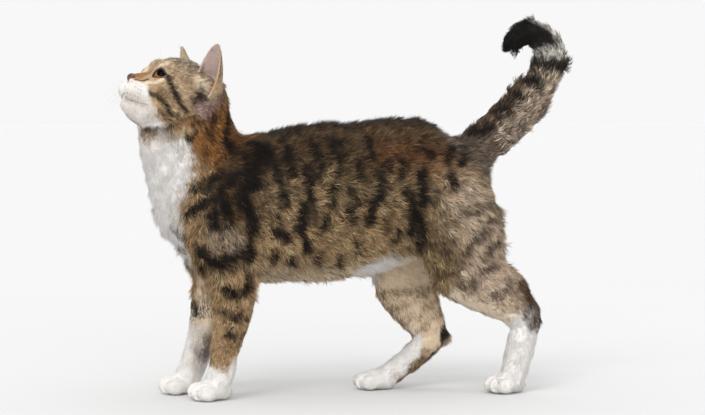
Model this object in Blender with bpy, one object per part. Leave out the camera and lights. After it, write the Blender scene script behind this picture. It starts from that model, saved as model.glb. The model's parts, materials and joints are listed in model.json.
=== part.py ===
"""A life-size American wirehair cat that stands side on and looks up, as a still model.

The cat faces -X, its left side is at -Y and up is +Z. Sizes below are millimetres. The flesh is laid out as
tapering masses, fused and smoothed, and parted with thin cuts where a person would name its parts.
"""

import math
from typing import NamedTuple

import bmesh
import bpy
import numpy as np
from mathutils import Matrix, Vector
from mathutils.bvhtree import BVHTree

MM = 0.001
GAP = 0.3


class Melt(NamedTuple):
    """How masses are fused to flesh: the grid's step in millimetres, rounds of smoothing, triangles kept."""

    step: float
    rounds: int
    triangles: int


MELT_TRUNK = Melt(2.8, 12, 30000)
MELT_WHOLE = Melt(2.0, 5, 4780)
MELT_SKULL = Melt(1.8, 16, 9000)
MELT_FACE = Melt(1.3, 5, 14000)
MELT_HEAD = Melt(1.25, 4, 2580)
SIDES = {"left": -1.0, "right": 1.0}

# The trunk, front to back: place along X, height of the back, height of the belly, half width.
TRUNK = (
    (-188, 202, 154, 24),
    (-177, 228, 138, 36),
    (-158, 250, 120, 45),
    (-135, 258, 111, 51),
    (-105, 259, 111, 55),
    (-75, 263, 113, 58),
    (-40, 270, 114, 60),
    (0, 270, 117, 61),
    (35, 275, 127, 60),
    (65, 275, 140, 56),
    (93, 262, 152, 52),
    (117, 250, 172, 43),
    (131, 236, 194, 28),
)

# A mass row is: centre x, y, z, half depth in the plane of the path, half width across it.
NECK = (
    (-148, 0, 180, 50, 42),
    (-156, 0, 215, 51, 41),
    (-163, -1, 243, 50, 39),
    (-168, -2, 264, 49, 38),
    (-164, -3, 284, 46, 37),
    (-156, -5, 303, 34, 31),
)

TAIL = (
    (96, 0, 226, 24, 26),
    (120, 0, 239, 22.5, 24),
    (142, 0, 256, 22.5, 21),
    (161, 0, 273, 21, 19),
    (178, 0, 288, 20, 18),
    (191, 0, 303, 19, 17),
    (200, 0, 320, 17.5, 16),
    (205, -1, 337, 16.5, 15.5),
    (202, -2, 351, 16, 15),
    (193, -3, 359.5, 15.5, 15),
    (182, -4, 361.5, 15.5, 15),
    (171, -5, 359, 15.5, 15),
    (162, -5, 351, 14.5, 13.5),
    (157, -5, 342, 9, 9),
)

# Shoulder, from the top of the blade to the elbow. Widths are given for the left side and mirrored.
SHOULDER = (
    (-92, 24, 240, 22, 16),
    (-118, 34, 212, 30, 20),
    (-146, 38, 172, 31, 20),
    (-136, 36, 138, 30, 18),
    (-126, 34, 118, 26, 16),
)

FORELEG = {
    "left": (
        (-127, 34, 140, 28, 18),
        (-126, 32, 112, 26, 16.5),
        (-127, 30, 82, 20.5, 14),
        (-133, 28, 52, 15.5, 12.5),
        (-136, 27, 32, 14.5, 12.5),
        (-140, 26, 18, 14, 14),
    ),
    "right": (
        (-130, 34, 140, 28, 18),
        (-134, 33, 112, 26, 16.5),
        (-140, 31, 82, 20.5, 14),
        (-149, 29, 52, 15.5, 12.5),
        (-156, 28, 32, 14.5, 12.5),
        (-162, 28, 18, 14, 14),
    ),
}

# Haunch and thigh, from the hip to the knee.
THIGH = {
    "left": (
        (96, 22, 232, 34, 22),
        (91, 33, 205, 43, 28),
        (95, 37, 178, 45, 29),
        (99, 40, 152, 47, 26),
        (96, 42, 128, 36, 20),
    ),
    "right": (
        (98, 22, 232, 36, 22),
        (93, 33, 205, 44, 28),
        (86, 37, 175, 47, 29),
        (72, 40, 145, 45, 25),
        (60, 40, 120, 36, 20),
    ),
}

SHANK = {
    "left": (
        (90, 42, 134, 36, 19),
        (118, 41, 116, 33, 18),
        (143, 38, 101, 29, 16),
        (162, 36, 84, 21, 13.5),
        (174, 34, 71, 16, 12),
    ),
    "right": (
        (58, 40, 128, 36, 19),
        (62, 38, 104, 33, 17.5),
        (73, 36, 84, 29, 15.5),
        (84, 33, 65, 22, 13.5),
        (90, 32, 52, 17, 12),
    ),
}

HOCK = {"left": ((175, 34, 80), (11, 9, 13)), "right": ((98, 32, 52), (14, 9, 11))}

SHIN = {
    "left": (
        (173, 34, 76, 15, 11),
        (168, 34, 60, 15.5, 11.5),
        (165, 33, 44, 15.5, 12),
        (161, 32, 28, 14.5, 12.5),
        (157, 32, 16, 13, 14),
    ),
    "right": (
        (92, 32, 52, 15, 11),
        (80, 29, 41, 14.5, 11.5),
        (66, 26, 30, 13.5, 12),
        (52, 24, 20, 12.5, 12.5),
        (42, 23, 14, 12, 13),
    ),
}

# Each paw: middle of the print on the floor, and how far its toes turn out from straight ahead, in degrees.
PAWS = {
    "fore_left": ((-147, -26), 12),
    "fore_right": ((-169, 28), 0),
    "hind_left": ((151, -32), 14),
    "hind_right": ((29, 22), 4),
}
TOES = ((-13, 6.0, 9.0, 11.0, 6.6, 9.6), (-7, 13.6, 8.2, 10.5, 6.0, 8.8))
PAW_PALM = ((1, 0, 10), (17, 15.5, 12))
PAW_HEEL = ((9, 0, 8), (13, 12, 10))

# The head in its own level frame, with -X out of the nose and the origin in the middle of the skull.
HEAD_PLACE = (-179, -8, 300)
HEAD_PITCH = 30
HEAD_YAW = 13
HEAD_ROLL = 0
# Each mass: centre, half sizes, and a tilt about Y in degrees. A side mass is mirrored.
HEAD_MIDDLE = (
    ((3, 0, 5.5), (36, 31, 30.5), 0),
    ((20, 0, 1), (28, 32, 32), 0),
)
HEAD_SIDE = (
    ((-18, 13, 15), (15.5, 13.5, 10.5), 0),
    ((-4, 22, -13), (26, 18.5, 21), 0),
    ((-24, 15, -7), (15, 13, 12), 0),
    ((-28, 12, -17), (16, 13, 14), 0),
    ((17, 32, -1), (15, 12, 17), 0),
    ((13, 26, 13), (14, 12, 14), 0),
)
BRIDGE = ((-20, 0, 3, 9.5, 11.5), (-29, 0, -1.5, 8.5, 9.5), (-38, 0, -6.5, 7.5, 8.2), (-45, 0, -9.8, 6, 6.8))
JAW = ((-34, 0, -35, 9, 10), (-20, 0, -34, 13, 19), (-5, 0, -27, 16, 27), (12, 0, -20, 17, 31))
FACE_MIDDLE = (
    ((-46.6, 0, -9.6), (4.2, 6.8, 4.6), 14),
    ((-34.5, 0, -34.5), (10.4, 10.5, 8), 0),
)
FACE_SIDE = (
    ((-40.3, 8.2, -20.8), (10.8, 9.6, 9.8), 0),
    ((-37, 8.5, -13.5), (10, 7.5, 7), 0),
)
EYE_CENTRE = (-22.5, 16.5, 2.5)
EYE_RADIUS = 11
LID = 1.8
EYE_SIDEWAYS = 28
EYE_LIFT = 6
EYE_OPENING = (10.4, 7.3, 5.6)
EYE_SLANT = 18
SOCKET_CLEARANCE = 0.25

# Lines on the muzzle in the level frame, for the right side: the lips part along the first.
MOUTH = ((-46, 0, -26.5), (-46, 3.4, -30), (-43.5, 8, -32), (-37, 13, -31.5), (-30, 17.5, -29), (-24, 20.5, -26.5))
PHILTRUM = ((-51, 0, -13), (-50.5, 0, -18), (-49, 0, -23), (-47, 0, -27))
GROOVE = 0.85
LIP = 1.5
NOSTRIL = ((-50.2, 3.1, -10.6), (2.4, 1.5, 1.25), -20)
NOSTRIL_SLIT = ((-48.6, 5.6, -11.4), (2.2, 0.55, 0.7), -40)

# The ear in the head's frame, for the far side and mirrored: middle of the base, then the way up its middle and
# the way across it towards its outer edge.
EAR_BASE = (10, 33.5, 15)
EAR_UP = (-0.17, 0.46, 0.92)
EAR_ACROSS = (0.37, 0.91, -0.18)
EAR_HEIGHT = 42.5
EAR_ROOT = 16
EAR_HALF_WIDTH = 15.4
EAR_TAPER = (2.5, 0.68)
EAR_ROWS_TO_TIP = 1.7
EAR_THICKNESS = 1.8
EAR_ROLL = (104, 46)
EAR_LEAN = 3.5
EAR_INNER_DROP = 5
EAR_THICK_TO_THIN = (1.25, 0.7)

# Where the parts are cut from each other: lines in the XZ plane, and between which distances across.
REACH = 90
HIP_LINE = ((0, 84), (36, 119), (90, 176), (142, 227), (160, 245))
CUTS = (
    ("neck", ((-240, 172), (-205, 190), (-165, 206), (-130, 234), (-104, 280)), -REACH, REACH),
    ("tail_base", ((112, 290), (132, 254), (152, 218)), -REACH, REACH),
    ("tail_middle", ((168, 330), (196, 302), (225, 275)), -REACH, REACH),
    ("tail_tip", ((176, 326), (190, 351), (208, 384)), -REACH, REACH),
    ("elbow", ((-200, 103), (-60, 103)), -REACH, REACH),
    ("wrist_left", ((-180, 31), (-100, 31)), -REACH, 0),
    ("wrist_right", ((-210, 31), (-130, 31)), 0, REACH),
    ("hip", HIP_LINE, -REACH, REACH),
    ("knee_left", ((60, 92), (120, 116), (175, 140)), -REACH, 0),
    ("knee_right", ((0, 92), (60, 104), (125, 116)), 0, REACH),
    ("hock_left", ((136, 50), (160, 78), (190, 112)), -REACH, 0),
    ("hock_right", ((46, 38), (80, 60), (114, 82)), 0, REACH),
)
# The line under the jaw and behind the ears where the head ends.
THROAT = ((-260, 262), (-222, 267), (-200, 269), (-180, 274), (-163, 282), (-148, 293), (-133, 305), (-100, 326))

# Where each part of the flesh is looked for once it is cut: a point near its middle.
SEEDS = {
    "neck": (-165, 0, 240),
    "torso": (-30, 0, 190),
    "tail_base": (165, 0, 275),
    "tail_middle": (205, 0, 325),
    "tail_tip": (175, -4, 358),
    "foreleg_left": (-130, -30, 70),
    "foreleg_right": (-145, 30, 70),
    "forepaw_left": (-147, -26, 12),
    "forepaw_right": (-169, 28, 12),
    "thigh_left": (105, -35, 160),
    "thigh_right": (85, 35, 150),
    "shank_left": (135, -38, 100),
    "shank_right": (70, 36, 85),
    "hindfoot_left": (160, -33, 35),
    "hindfoot_right": (60, 26, 30),
}

# Locks of the wiry coat where it breaks the outline: along the spine, round the tail, down the backs of the thighs
# and shanks, under the belly and on the chest.
LOCK_LENGTH = 25
LOCK_WIDTH = 7.5
LOCK_THICKNESS = 1.9
LOCK_RISE = 2.8
LOCK_SUNK = 3.2
LOCK_CLEARANCE = 1.2
LOCK_SEED = 7
# Along a lock from its root: share of its length, height over the skin, share of its width, of its thickness and of
# its sideways swing. It ends in a point.
LOCK_STATIONS = (
    (0.0, -LOCK_SUNK, 0.75, 1.0, 0.0),
    (0.38, LOCK_THICKNESS * 0.2, 1.0, 0.9, 0.0),
    (0.74, LOCK_RISE * 0.7, 0.68, 0.6, 0.5),
)
LOCK_TIP = (1.0, LOCK_RISE, 0.0, 0.0, 1.0)
RAY = Vector((0.31, 0.43, 0.85)).normalized()
TAIL_RISES = (0.75, 0, 0.66)
HANGS_BACK = (0.4, 0, -0.9)


class Patch(NamedTuple):
    """A patch of locks: its part, its columns and rows, the middle of its first and last row, and how it lies."""

    part: str
    columns: int
    rows: int
    first: tuple
    last: tuple
    across: tuple
    lie: tuple


PATCHES = (
    Patch("torso", 3, 8, (-84, 0, 262), (78, 0, 276), (0, 9, 0), (1, 0, -0.02)),
    Patch("torso", 2, 4, (-62, 0, 112), (14, 0, 120), (0, 17, 0), (1, 0, -0.2)),
    Patch("torso", 3, 2, (-208, 0, 168), (-184, 0, 140), (0, 10, 0), (0.35, 0, -0.9)),
    Patch("tail_base", 3, 3, (140, 0, 284), (163, 0, 306), (0, 9, 0), TAIL_RISES),
    Patch("tail_base", 3, 3, (162, 0, 246), (190, 0, 274), (0, 9, 0), TAIL_RISES),
    Patch("tail_middle", 3, 3, (212, 0, 302), (222, 0, 330), (0, 9, 0), (0.25, 0, 1)),
    Patch("tail_middle", 2, 2, (180, 0, 322), (188, 0, 336), (0, 9, 0), (0.35, 0, 1)),
    Patch("tail_tip", 3, 3, (212, -3, 364), (180, -4, 378), (0, 8, 0), (-1, 0, 0.2)),
    Patch("tail_tip", 2, 1, (184, -4, 346), (172, -4, 338), (0, 8, 0), (-1, 0, -0.6)),
    Patch("thigh_left", 3, 4, (142, -40, 206), (154, -40, 150), (0, 10, 0), HANGS_BACK),
    Patch("thigh_right", 3, 3, (138, 38, 196), (112, 40, 138), (0, 11, 0), (0.15, 0, -1)),
    Patch("shank_left", 3, 2, (160, -38, 126), (172, -36, 113), (0, 9, 0), (0.7, 0, -0.7)),
    Patch("shank_right", 2, 1, (102, 38, 104), (108, 34, 88), (0, 10, 0), (0.5, 0, -0.8)),
)

# Colour of each part as it reads from a step away, and how rough its surface is.
FUR_ROUGHNESS = 0.85
EYE_ROUGHNESS = 0.08
COLOURS = {
    "head": "9A8268",
    "neck": "8C6B4C",
    "torso": "6E5A46",
    "ear": "A08878",
    "eye": "7A4A22",
    "tail_base": "7D6F60",
    "tail_middle": "6B6158",
    "tail_tip": "35302D",
    "foreleg": "8A7661",
    "forepaw": "E6E0DA",
    "thigh": "85725F",
    "shank": "8D7B69",
    "hindfoot": "E0D8D0",
}


def metres(point):
    """A point in millimetres as a vector in metres."""
    return Vector(point) * MM


def mesh_object(name, vertices, faces):
    """A new object from points in millimetres and faces, with its faces turned outwards."""
    mesh = bpy.data.meshes.new(name)
    mesh.from_pydata([metres(v) for v in vertices], [], faces)
    bm = bmesh.new()
    bm.from_mesh(mesh)
    bmesh.ops.recalc_face_normals(bm, faces=bm.faces)
    bm.to_mesh(mesh)
    bm.free()
    made = bpy.data.objects.new(name, mesh)
    bpy.context.scene.collection.objects.link(made)
    return made


def through(rows, steps):
    """Rows of numbers on one smooth curve through the given rows, with so many steps between each two."""
    rows = np.array(rows, float)
    padded = np.vstack([2 * rows[0] - rows[1], rows, 2 * rows[-1] - rows[-2]])
    out = []
    for i in range(1, len(padded) - 2):
        before, start, end, after = padded[i - 1 : i + 3]
        for k in range(steps):
            t = k / steps
            out.append(
                0.5
                * (
                    2 * start
                    + (end - before) * t
                    + (2 * before - 5 * start + 4 * end - after) * t**2
                    + (3 * start - before - 3 * end + after) * t**3
                )
            )
    return np.array(out + [rows[-1]])


def loft(name, rows, sides=28, steps=4, egg=0.0, dome=0.7):
    """A closed tapering body through oval sections, with rounded ends. egg narrows the upper side of a section."""
    rows = through(rows, steps)
    centres = rows[:, :3]
    tangents = np.gradient(centres, axis=0)
    tangents /= np.linalg.norm(tangents, axis=1)[:, None]
    rings = []
    for end in (0, -1):
        sign = -1.0 if end == 0 else 1.0
        caps = []
        for turn in (25, 50, 72):
            shrink = math.cos(math.radians(turn))
            out = rows[end, 4] * dome * math.sin(math.radians(turn))
            caps.append((centres[end] + sign * tangents[end] * out, tangents[end], rows[end, 3:] * shrink))
        tip = centres[end] + sign * tangents[end] * rows[end, 4] * dome
        rings.append((caps[::-1] if end == 0 else caps, tip))
    body = [(c, t, r[3:]) for c, t, r in zip(centres, tangents, rows)]
    sections = rings[0][0] + body + rings[1][0]
    vertices, faces = [], []
    before = np.array([0.0, 0.0, 1.0])
    for centre, tangent, (depth, width) in sections:
        across = np.array([0.0, 1.0, 0.0])
        across -= tangent * across.dot(tangent)
        across /= np.linalg.norm(across)
        up = np.cross(tangent, across)
        up *= -1.0 if up.dot(before) < 0 else 1.0
        before = up
        for k in range(sides):
            a = math.tau * k / sides
            narrow = 1 - egg * math.sin(a)
            vertices.append(centre + up * depth * math.sin(a) + across * width * math.cos(a) * narrow)
    for i in range(len(sections) - 1):
        for k in range(sides):
            n = (k + 1) % sides
            faces.append((i * sides + k, i * sides + n, (i + 1) * sides + n, (i + 1) * sides + k))
    last = (len(sections) - 1) * sides
    for start, tip in ((0, rings[0][1]), (last, rings[1][1])):
        vertices.append(tip)
        pole = len(vertices) - 1
        faces += [(start + k, start + (k + 1) % sides, pole) for k in range(sides)]
    return mesh_object(name, vertices, faces)


def ball(name, centre, half_sizes, tilt=0.0, turn=0.0, segments=28, rings=18):
    """A closed ellipsoid, tilted about Y and then turned about Z, in degrees."""
    bm = bmesh.new()
    bmesh.ops.create_uvsphere(bm, u_segments=segments, v_segments=rings, radius=1.0)
    shape = (
        Matrix.Translation(metres(centre))
        @ Matrix.Rotation(math.radians(turn), 4, "Z")
        @ Matrix.Rotation(math.radians(tilt), 4, "Y")
        @ Matrix.Diagonal((*metres(half_sizes), 1.0))
    )
    bmesh.ops.transform(bm, matrix=shape, verts=bm.verts)
    mesh = bpy.data.meshes.new(name)
    bm.to_mesh(mesh)
    bm.free()
    made = bpy.data.objects.new(name, mesh)
    bpy.context.scene.collection.objects.link(made)
    return made


def tube(name, points, radius, sides=8):
    """A closed round tube along points in millimetres, with filled ends."""
    curve = bpy.data.curves.new(name, "CURVE")
    curve.dimensions = "3D"
    curve.bevel_depth = radius * MM
    curve.bevel_resolution = max(0, sides // 4 - 1)
    curve.use_fill_caps = True
    spline = curve.splines.new("POLY")
    spline.points.add(len(points) - 1)
    for place, point in zip(spline.points, points):
        place.co = (*metres(point), 1.0)
    made = bpy.data.objects.new(name, curve)
    bpy.context.scene.collection.objects.link(made)
    return as_mesh(made)


def as_mesh(obj):
    """The object with its modifiers applied, or its curve turned into a mesh, ends welded."""
    graph = bpy.context.evaluated_depsgraph_get()
    mesh = bpy.data.meshes.new_from_object(obj.evaluated_get(graph))
    name = obj.name
    bpy.data.objects.remove(obj)
    bm = bmesh.new()
    bm.from_mesh(mesh)
    bmesh.ops.remove_doubles(bm, verts=bm.verts, dist=1e-6)
    bmesh.ops.recalc_face_normals(bm, faces=bm.faces)
    bm.to_mesh(mesh)
    bm.free()
    mesh.materials.clear()
    made = bpy.data.objects.new(name, mesh)
    bpy.context.scene.collection.objects.link(made)
    return made


def copy_of(obj):
    """A second object with a mesh of its own."""
    made = bpy.data.objects.new(obj.name + "_copy", obj.data.copy())
    made.matrix_world = obj.matrix_world
    bpy.context.scene.collection.objects.link(made)
    return made


def joined(name, objects):
    """One mesh object from several, which are removed."""
    bm = bmesh.new()
    for obj in objects:
        mesh = obj.data.copy()
        mesh.transform(obj.matrix_world)
        bm.from_mesh(mesh)
        bpy.data.meshes.remove(mesh)
        bpy.data.objects.remove(obj)
    mesh = bpy.data.meshes.new(name)
    bm.to_mesh(mesh)
    bm.free()
    made = bpy.data.objects.new(name, mesh)
    bpy.context.scene.collection.objects.link(made)
    return made


def fused(name, objects, melt):
    """Flesh: the masses melted into one closed skin, smoothed, and thinned."""
    whole = joined(name, objects)
    remesh = whole.modifiers.new("melt", "REMESH")
    remesh.mode = "VOXEL"
    remesh.voxel_size = melt.step * MM
    smooth = whole.modifiers.new("smooth", "SMOOTH")
    smooth.factor = 0.5
    smooth.iterations = melt.rounds
    whole = as_mesh(whole)
    faces = sum(len(p.vertices) - 2 for p in whole.data.polygons)
    thin = whole.modifiers.new("thin", "DECIMATE")
    thin.ratio = min(1.0, melt.triangles / faces)
    return as_mesh(whole)


def volume(obj):
    """The space inside the object's surface, in cubic metres."""
    bm = bmesh.new()
    bm.from_mesh(obj.data)
    inside = bm.calc_volume(signed=True)
    bm.free()
    return inside


def is_closed(obj):
    """Whether each edge of the object joins exactly two faces."""
    bm = bmesh.new()
    bm.from_mesh(obj.data)
    closed = all(edge.is_manifold for edge in bm.edges)
    bm.free()
    return closed


def boolean(target, cutter, operation, pieces=1, least=0.4):
    """The target joined with, or cut by, a closed object, which is then removed.

    The exact solver is used first, and the other one where its result is open, in fewer pieces than asked for, or
    keeps less of the target than the least share.
    """
    name, before = target.name, volume(target)
    for solver in ("EXACT", "MANIFOLD"):
        trial, tool = copy_of(target), copy_of(cutter)
        change = trial.modifiers.new("cut", "BOOLEAN")
        change.operation = operation
        change.solver = solver
        change.object = tool
        made = as_mesh(trial)
        bpy.data.objects.remove(tool)
        after = volume(made)
        most = 1.0001 if operation == "DIFFERENCE" else 9.0
        if is_closed(made) and least * before < after < most * before and part_count(made) >= pieces:
            break
        if solver == "EXACT":
            bpy.data.objects.remove(made)
    bpy.data.objects.remove(target)
    bpy.data.objects.remove(cutter)
    made.name = name
    return made


def block(name, centre, half_sizes):
    """A closed box in millimetres."""
    bm = bmesh.new()
    bmesh.ops.create_cube(bm, size=2.0)
    shape = Matrix.Translation(metres(centre)) @ Matrix.Diagonal((*metres(half_sizes), 1.0))
    bmesh.ops.transform(bm, matrix=shape, verts=bm.verts)
    mesh = bpy.data.meshes.new(name)
    bm.to_mesh(mesh)
    bm.free()
    made = bpy.data.objects.new(name, mesh)
    bpy.context.scene.collection.objects.link(made)
    return made


def part_count(obj):
    """How many closed surfaces the object has."""
    parts = loose_parts(copy_of(obj))
    for part in parts:
        bpy.data.objects.remove(part)
    return len(parts)


def parted(obj, cutter):
    """The object cut by a thin tool into one more piece than before."""
    return boolean(obj, cutter, "DIFFERENCE", part_count(obj) + 1, 0.98)


def loose_parts(obj):
    """Each closed surface of the object as an object of its own."""
    bm = bmesh.new()
    bm.from_mesh(obj.data)
    bm.verts.ensure_lookup_table()
    seen, parts = set(), []
    for start in bm.verts:
        if start.index in seen:
            continue
        stack, found = [start], []
        seen.add(start.index)
        while stack:
            vertex = stack.pop()
            found.append(vertex)
            for edge in vertex.link_edges:
                other = edge.other_vert(vertex)
                if other.index not in seen:
                    seen.add(other.index)
                    stack.append(other)
        parts.append(found)
    made = []
    for number, found in enumerate(parts):
        index = {vertex.index: k for k, vertex in enumerate(found)}
        faces = {face for vertex in found for face in vertex.link_faces}
        mesh = bpy.data.meshes.new(f"{obj.name}_{number}")
        mesh.from_pydata(
            [vertex.co.copy() for vertex in found],
            [],
            [[index[v.index] for v in face.verts] for face in sorted(faces, key=lambda f: f.index)],
        )
        part = bpy.data.objects.new(mesh.name, mesh)
        bpy.context.scene.collection.objects.link(part)
        made.append(part)
    bm.free()
    bpy.data.objects.remove(obj)
    return made


def largest_part(name, obj):
    """Only the object's largest closed surface, under a new name."""
    parts = sorted(loose_parts(obj), key=lambda part: len(part.data.vertices))
    for part in parts[:-1]:
        bpy.data.objects.remove(part)
    parts[-1].name = name
    return parts[-1]


def mirrored(rows, side):
    """Rows given for the far side, moved to the side asked for."""
    return tuple((row[0], row[1] * SIDES[side], *row[2:]) for row in rows)


def head_matrix():
    """From the head's level frame to the room: roll, then pitch up, then turn towards the left side."""
    return (
        Matrix.Translation(metres(HEAD_PLACE))
        @ Matrix.Rotation(math.radians(HEAD_YAW), 4, "Z")
        @ Matrix.Rotation(math.radians(HEAD_PITCH), 4, "Y")
        @ Matrix.Rotation(math.radians(HEAD_ROLL), 4, "X")
    )


def both_sides(middle, side):
    """Balls from a table of middle masses and a table of side ones, which are mirrored."""
    masses = [ball("mass", *row) for row in middle]
    for sign in SIDES.values():
        masses += [ball("mass", (x, y * sign, z), sizes, tilt) for (x, y, z), sizes, tilt in side]
    return masses


def head_masses():
    """The skull as one soft body, then the nose, whisker pads, chin and lids, in the level frame."""
    soft = both_sides(HEAD_MIDDLE, HEAD_SIDE) + [loft("bridge", BRIDGE), loft("jaw", JAW)]
    masses = [fused("skull", soft, MELT_SKULL)]
    masses += both_sides(FACE_MIDDLE, FACE_SIDE)
    for sign in SIDES.values():
        masses.append(ball("lid", (EYE_CENTRE[0], EYE_CENTRE[1] * sign, EYE_CENTRE[2]), (EYE_RADIUS + LID,) * 3))
    return masses


def placed(objects, matrix):
    """The objects with a matrix applied to their meshes."""
    for obj in objects:
        obj.data.transform(matrix)
    return objects


def paw_masses(name):
    """The palm, heel and four toes of a paw."""
    (x, y), out = PAWS[name]
    side = SIDES[name.split("_")[1]]
    turn = Matrix.Translation(metres((x, y, 0))) @ Matrix.Rotation(math.radians(-out * side), 4, "Z")
    parts = [ball("palm", *PAW_PALM), ball("heel", *PAW_HEEL)]
    for forward, across, height, length, width, tall in TOES:
        for sign in (-1, 1):
            parts.append(ball("toe", (forward, across * sign, height), (length, width, tall), -12))
    return placed(parts, turn)


def upper_limbs(side):
    """The fleshy upper masses of one side's legs."""
    return [loft("limb", mirrored(rows, side)) for rows in (SHOULDER, THIGH[side], SHANK[side])]


def lower_limbs(side):
    """The slender lower masses of one side's legs."""
    parts = [loft("limb", mirrored(rows, side)) for rows in (FORELEG[side], SHIN[side])]
    centre, sizes = HOCK[side]
    parts.append(ball("hock", (centre[0], centre[1] * SIDES[side], centre[2]), sizes, 30))
    return parts


def trunk_rows():
    """The trunk's sections as mass rows."""
    return tuple((x, 0, (top + bottom) / 2, (top - bottom) / 2, half) for x, top, bottom, half in TRUNK)


def extrusion(name, outline, low, high):
    """A closed prism: an outline in the XZ plane drawn out along Y between two distances."""
    count = len(outline)
    vertices = [(x, y, z) for y in (low, high) for x, z in outline]
    faces = [tuple(range(count)), tuple(range(2 * count - 1, count - 1, -1))]
    faces += [(i, (i + 1) % count, count + (i + 1) % count, count + i) for i in range(count)]
    return mesh_object(name, vertices, faces)


def curtain(name, line, low=-REACH, high=REACH):
    """A cutter one gap thick that hangs along a line in the XZ plane and reaches across between two distances."""
    line = np.array(line, float)
    along = np.gradient(line, axis=0)
    along /= np.linalg.norm(along, axis=1)[:, None]
    aside = np.stack([-along[:, 1], along[:, 0]], axis=1) * GAP / 2
    return extrusion(name, np.vstack([line + aside, (line - aside)[::-1]]), low, high)


def eye_frame(sign):
    """A 3 by 3 frame for an eye in the level head: its first axis looks out, its third is up the slanted slit."""
    side, lift = math.radians(EYE_SIDEWAYS), math.radians(EYE_LIFT)
    out = Vector((-math.cos(side) * math.cos(lift), sign * math.sin(side) * math.cos(lift), math.sin(lift)))
    across = Vector((0, 0, 1)).cross(out).normalized()
    up = out.cross(across)
    turned = Matrix.Rotation(math.radians(-sign * EYE_SLANT), 3, out)
    return Matrix((out, turned @ across, turned @ up)).transposed()


def eye_centre(sign):
    """The middle of an eyeball in the level head."""
    return Vector((EYE_CENTRE[0], EYE_CENTRE[1] * sign, EYE_CENTRE[2]))


def lid_cutter(sign, points=20):
    """The almond between the lids, drawn out from inside the eyeball to beyond the lids."""
    half, above, below = EYE_OPENING
    frame, centre = eye_frame(sign), eye_centre(sign)
    outline = []
    for k in range(points):
        a = math.tau * k / points
        height = above if math.sin(a) > 0 else below
        outline.append((half * math.cos(a), height * math.sin(a) * (1 - 0.28 * abs(math.cos(a)) ** 3)))
    vertices = []
    for depth, spread in ((EYE_RADIUS * 0.35, 0.86), (EYE_RADIUS + LID + 6, 1.12)):
        vertices += [centre + frame @ Vector((depth, a * spread, b * spread)) for a, b in outline]
    faces = [tuple(range(points)), tuple(range(2 * points - 1, points - 1, -1))]
    faces += [(k, (k + 1) % points, points + (k + 1) % points, points + k) for k in range(points)]
    return mesh_object("slit", vertices, faces)


def surface_tree(obj):
    """A search tree over the object's surface."""
    bm = bmesh.new()
    bm.from_mesh(obj.data)
    tree = BVHTree.FromBMesh(bm)
    bm.free()
    return tree


def on_surface(obj, points, lift=0.0, steps=6):
    """Points on a smooth curve through the given ones, each moved onto the object's surface."""
    tree = surface_tree(obj)
    out = []
    for point in through(points, steps):
        place, normal, _, _ = tree.find_nearest(metres(point))
        out.append((place + normal * lift * MM) / MM)
    out = np.array([tuple(point) for point in out])
    for _ in range(3):
        out[1:-1] = (out[:-2] + 2 * out[1:-1] + out[2:]) / 4
    return out


def make_head():
    """The head in its level frame, with lids, lips, nostrils and eye sockets."""
    skull = fused("skull", head_masses(), MELT_FACE)
    lips = []
    for sign in SIDES.values():
        line = [(x, y * sign, z) for x, y, z in MOUTH]
        lips.append(tube("lip", on_surface(skull, line, -0.5), LIP))
    throat = placed([loft("throat", NECK[2:])], head_matrix().inverted())
    head = fused("head", [skull, *lips, *throat], MELT_HEAD)
    cutters = [tube("philtrum", on_surface(head, PHILTRUM, 0.1), GROOVE * 0.8)]
    for sign in SIDES.values():
        line = [(x, y * sign, z) for x, y, z in MOUTH]
        cutters.append(tube("groove", on_surface(head, line, 0.0), GROOVE))
        for centre, sizes, turn in (NOSTRIL, NOSTRIL_SLIT):
            place = (centre[0], centre[1] * sign, centre[2])
            cutters.append(ball("nostril", place, sizes, 0, turn * sign, 12, 8))
    for cutter in cutters:
        head = boolean(head, cutter, "DIFFERENCE")
    for sign in SIDES.values():
        socket = ball("socket", eye_centre(sign), (EYE_RADIUS + SOCKET_CLEARANCE,) * 3, 0, 0, 20, 12)
        head = boolean(head, boolean(socket, lid_cutter(sign), "UNION"), "DIFFERENCE")
    return head


def make_eye(sign):
    """An eyeball in the level head's frame."""
    eye = ball("eye", (0, 0, 0), (EYE_RADIUS,) * 3, 0, 0, 18, 10)
    eye.data.transform(Matrix.Translation(metres(eye_centre(sign))) @ eye_frame(sign).to_4x4())
    return eye


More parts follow.
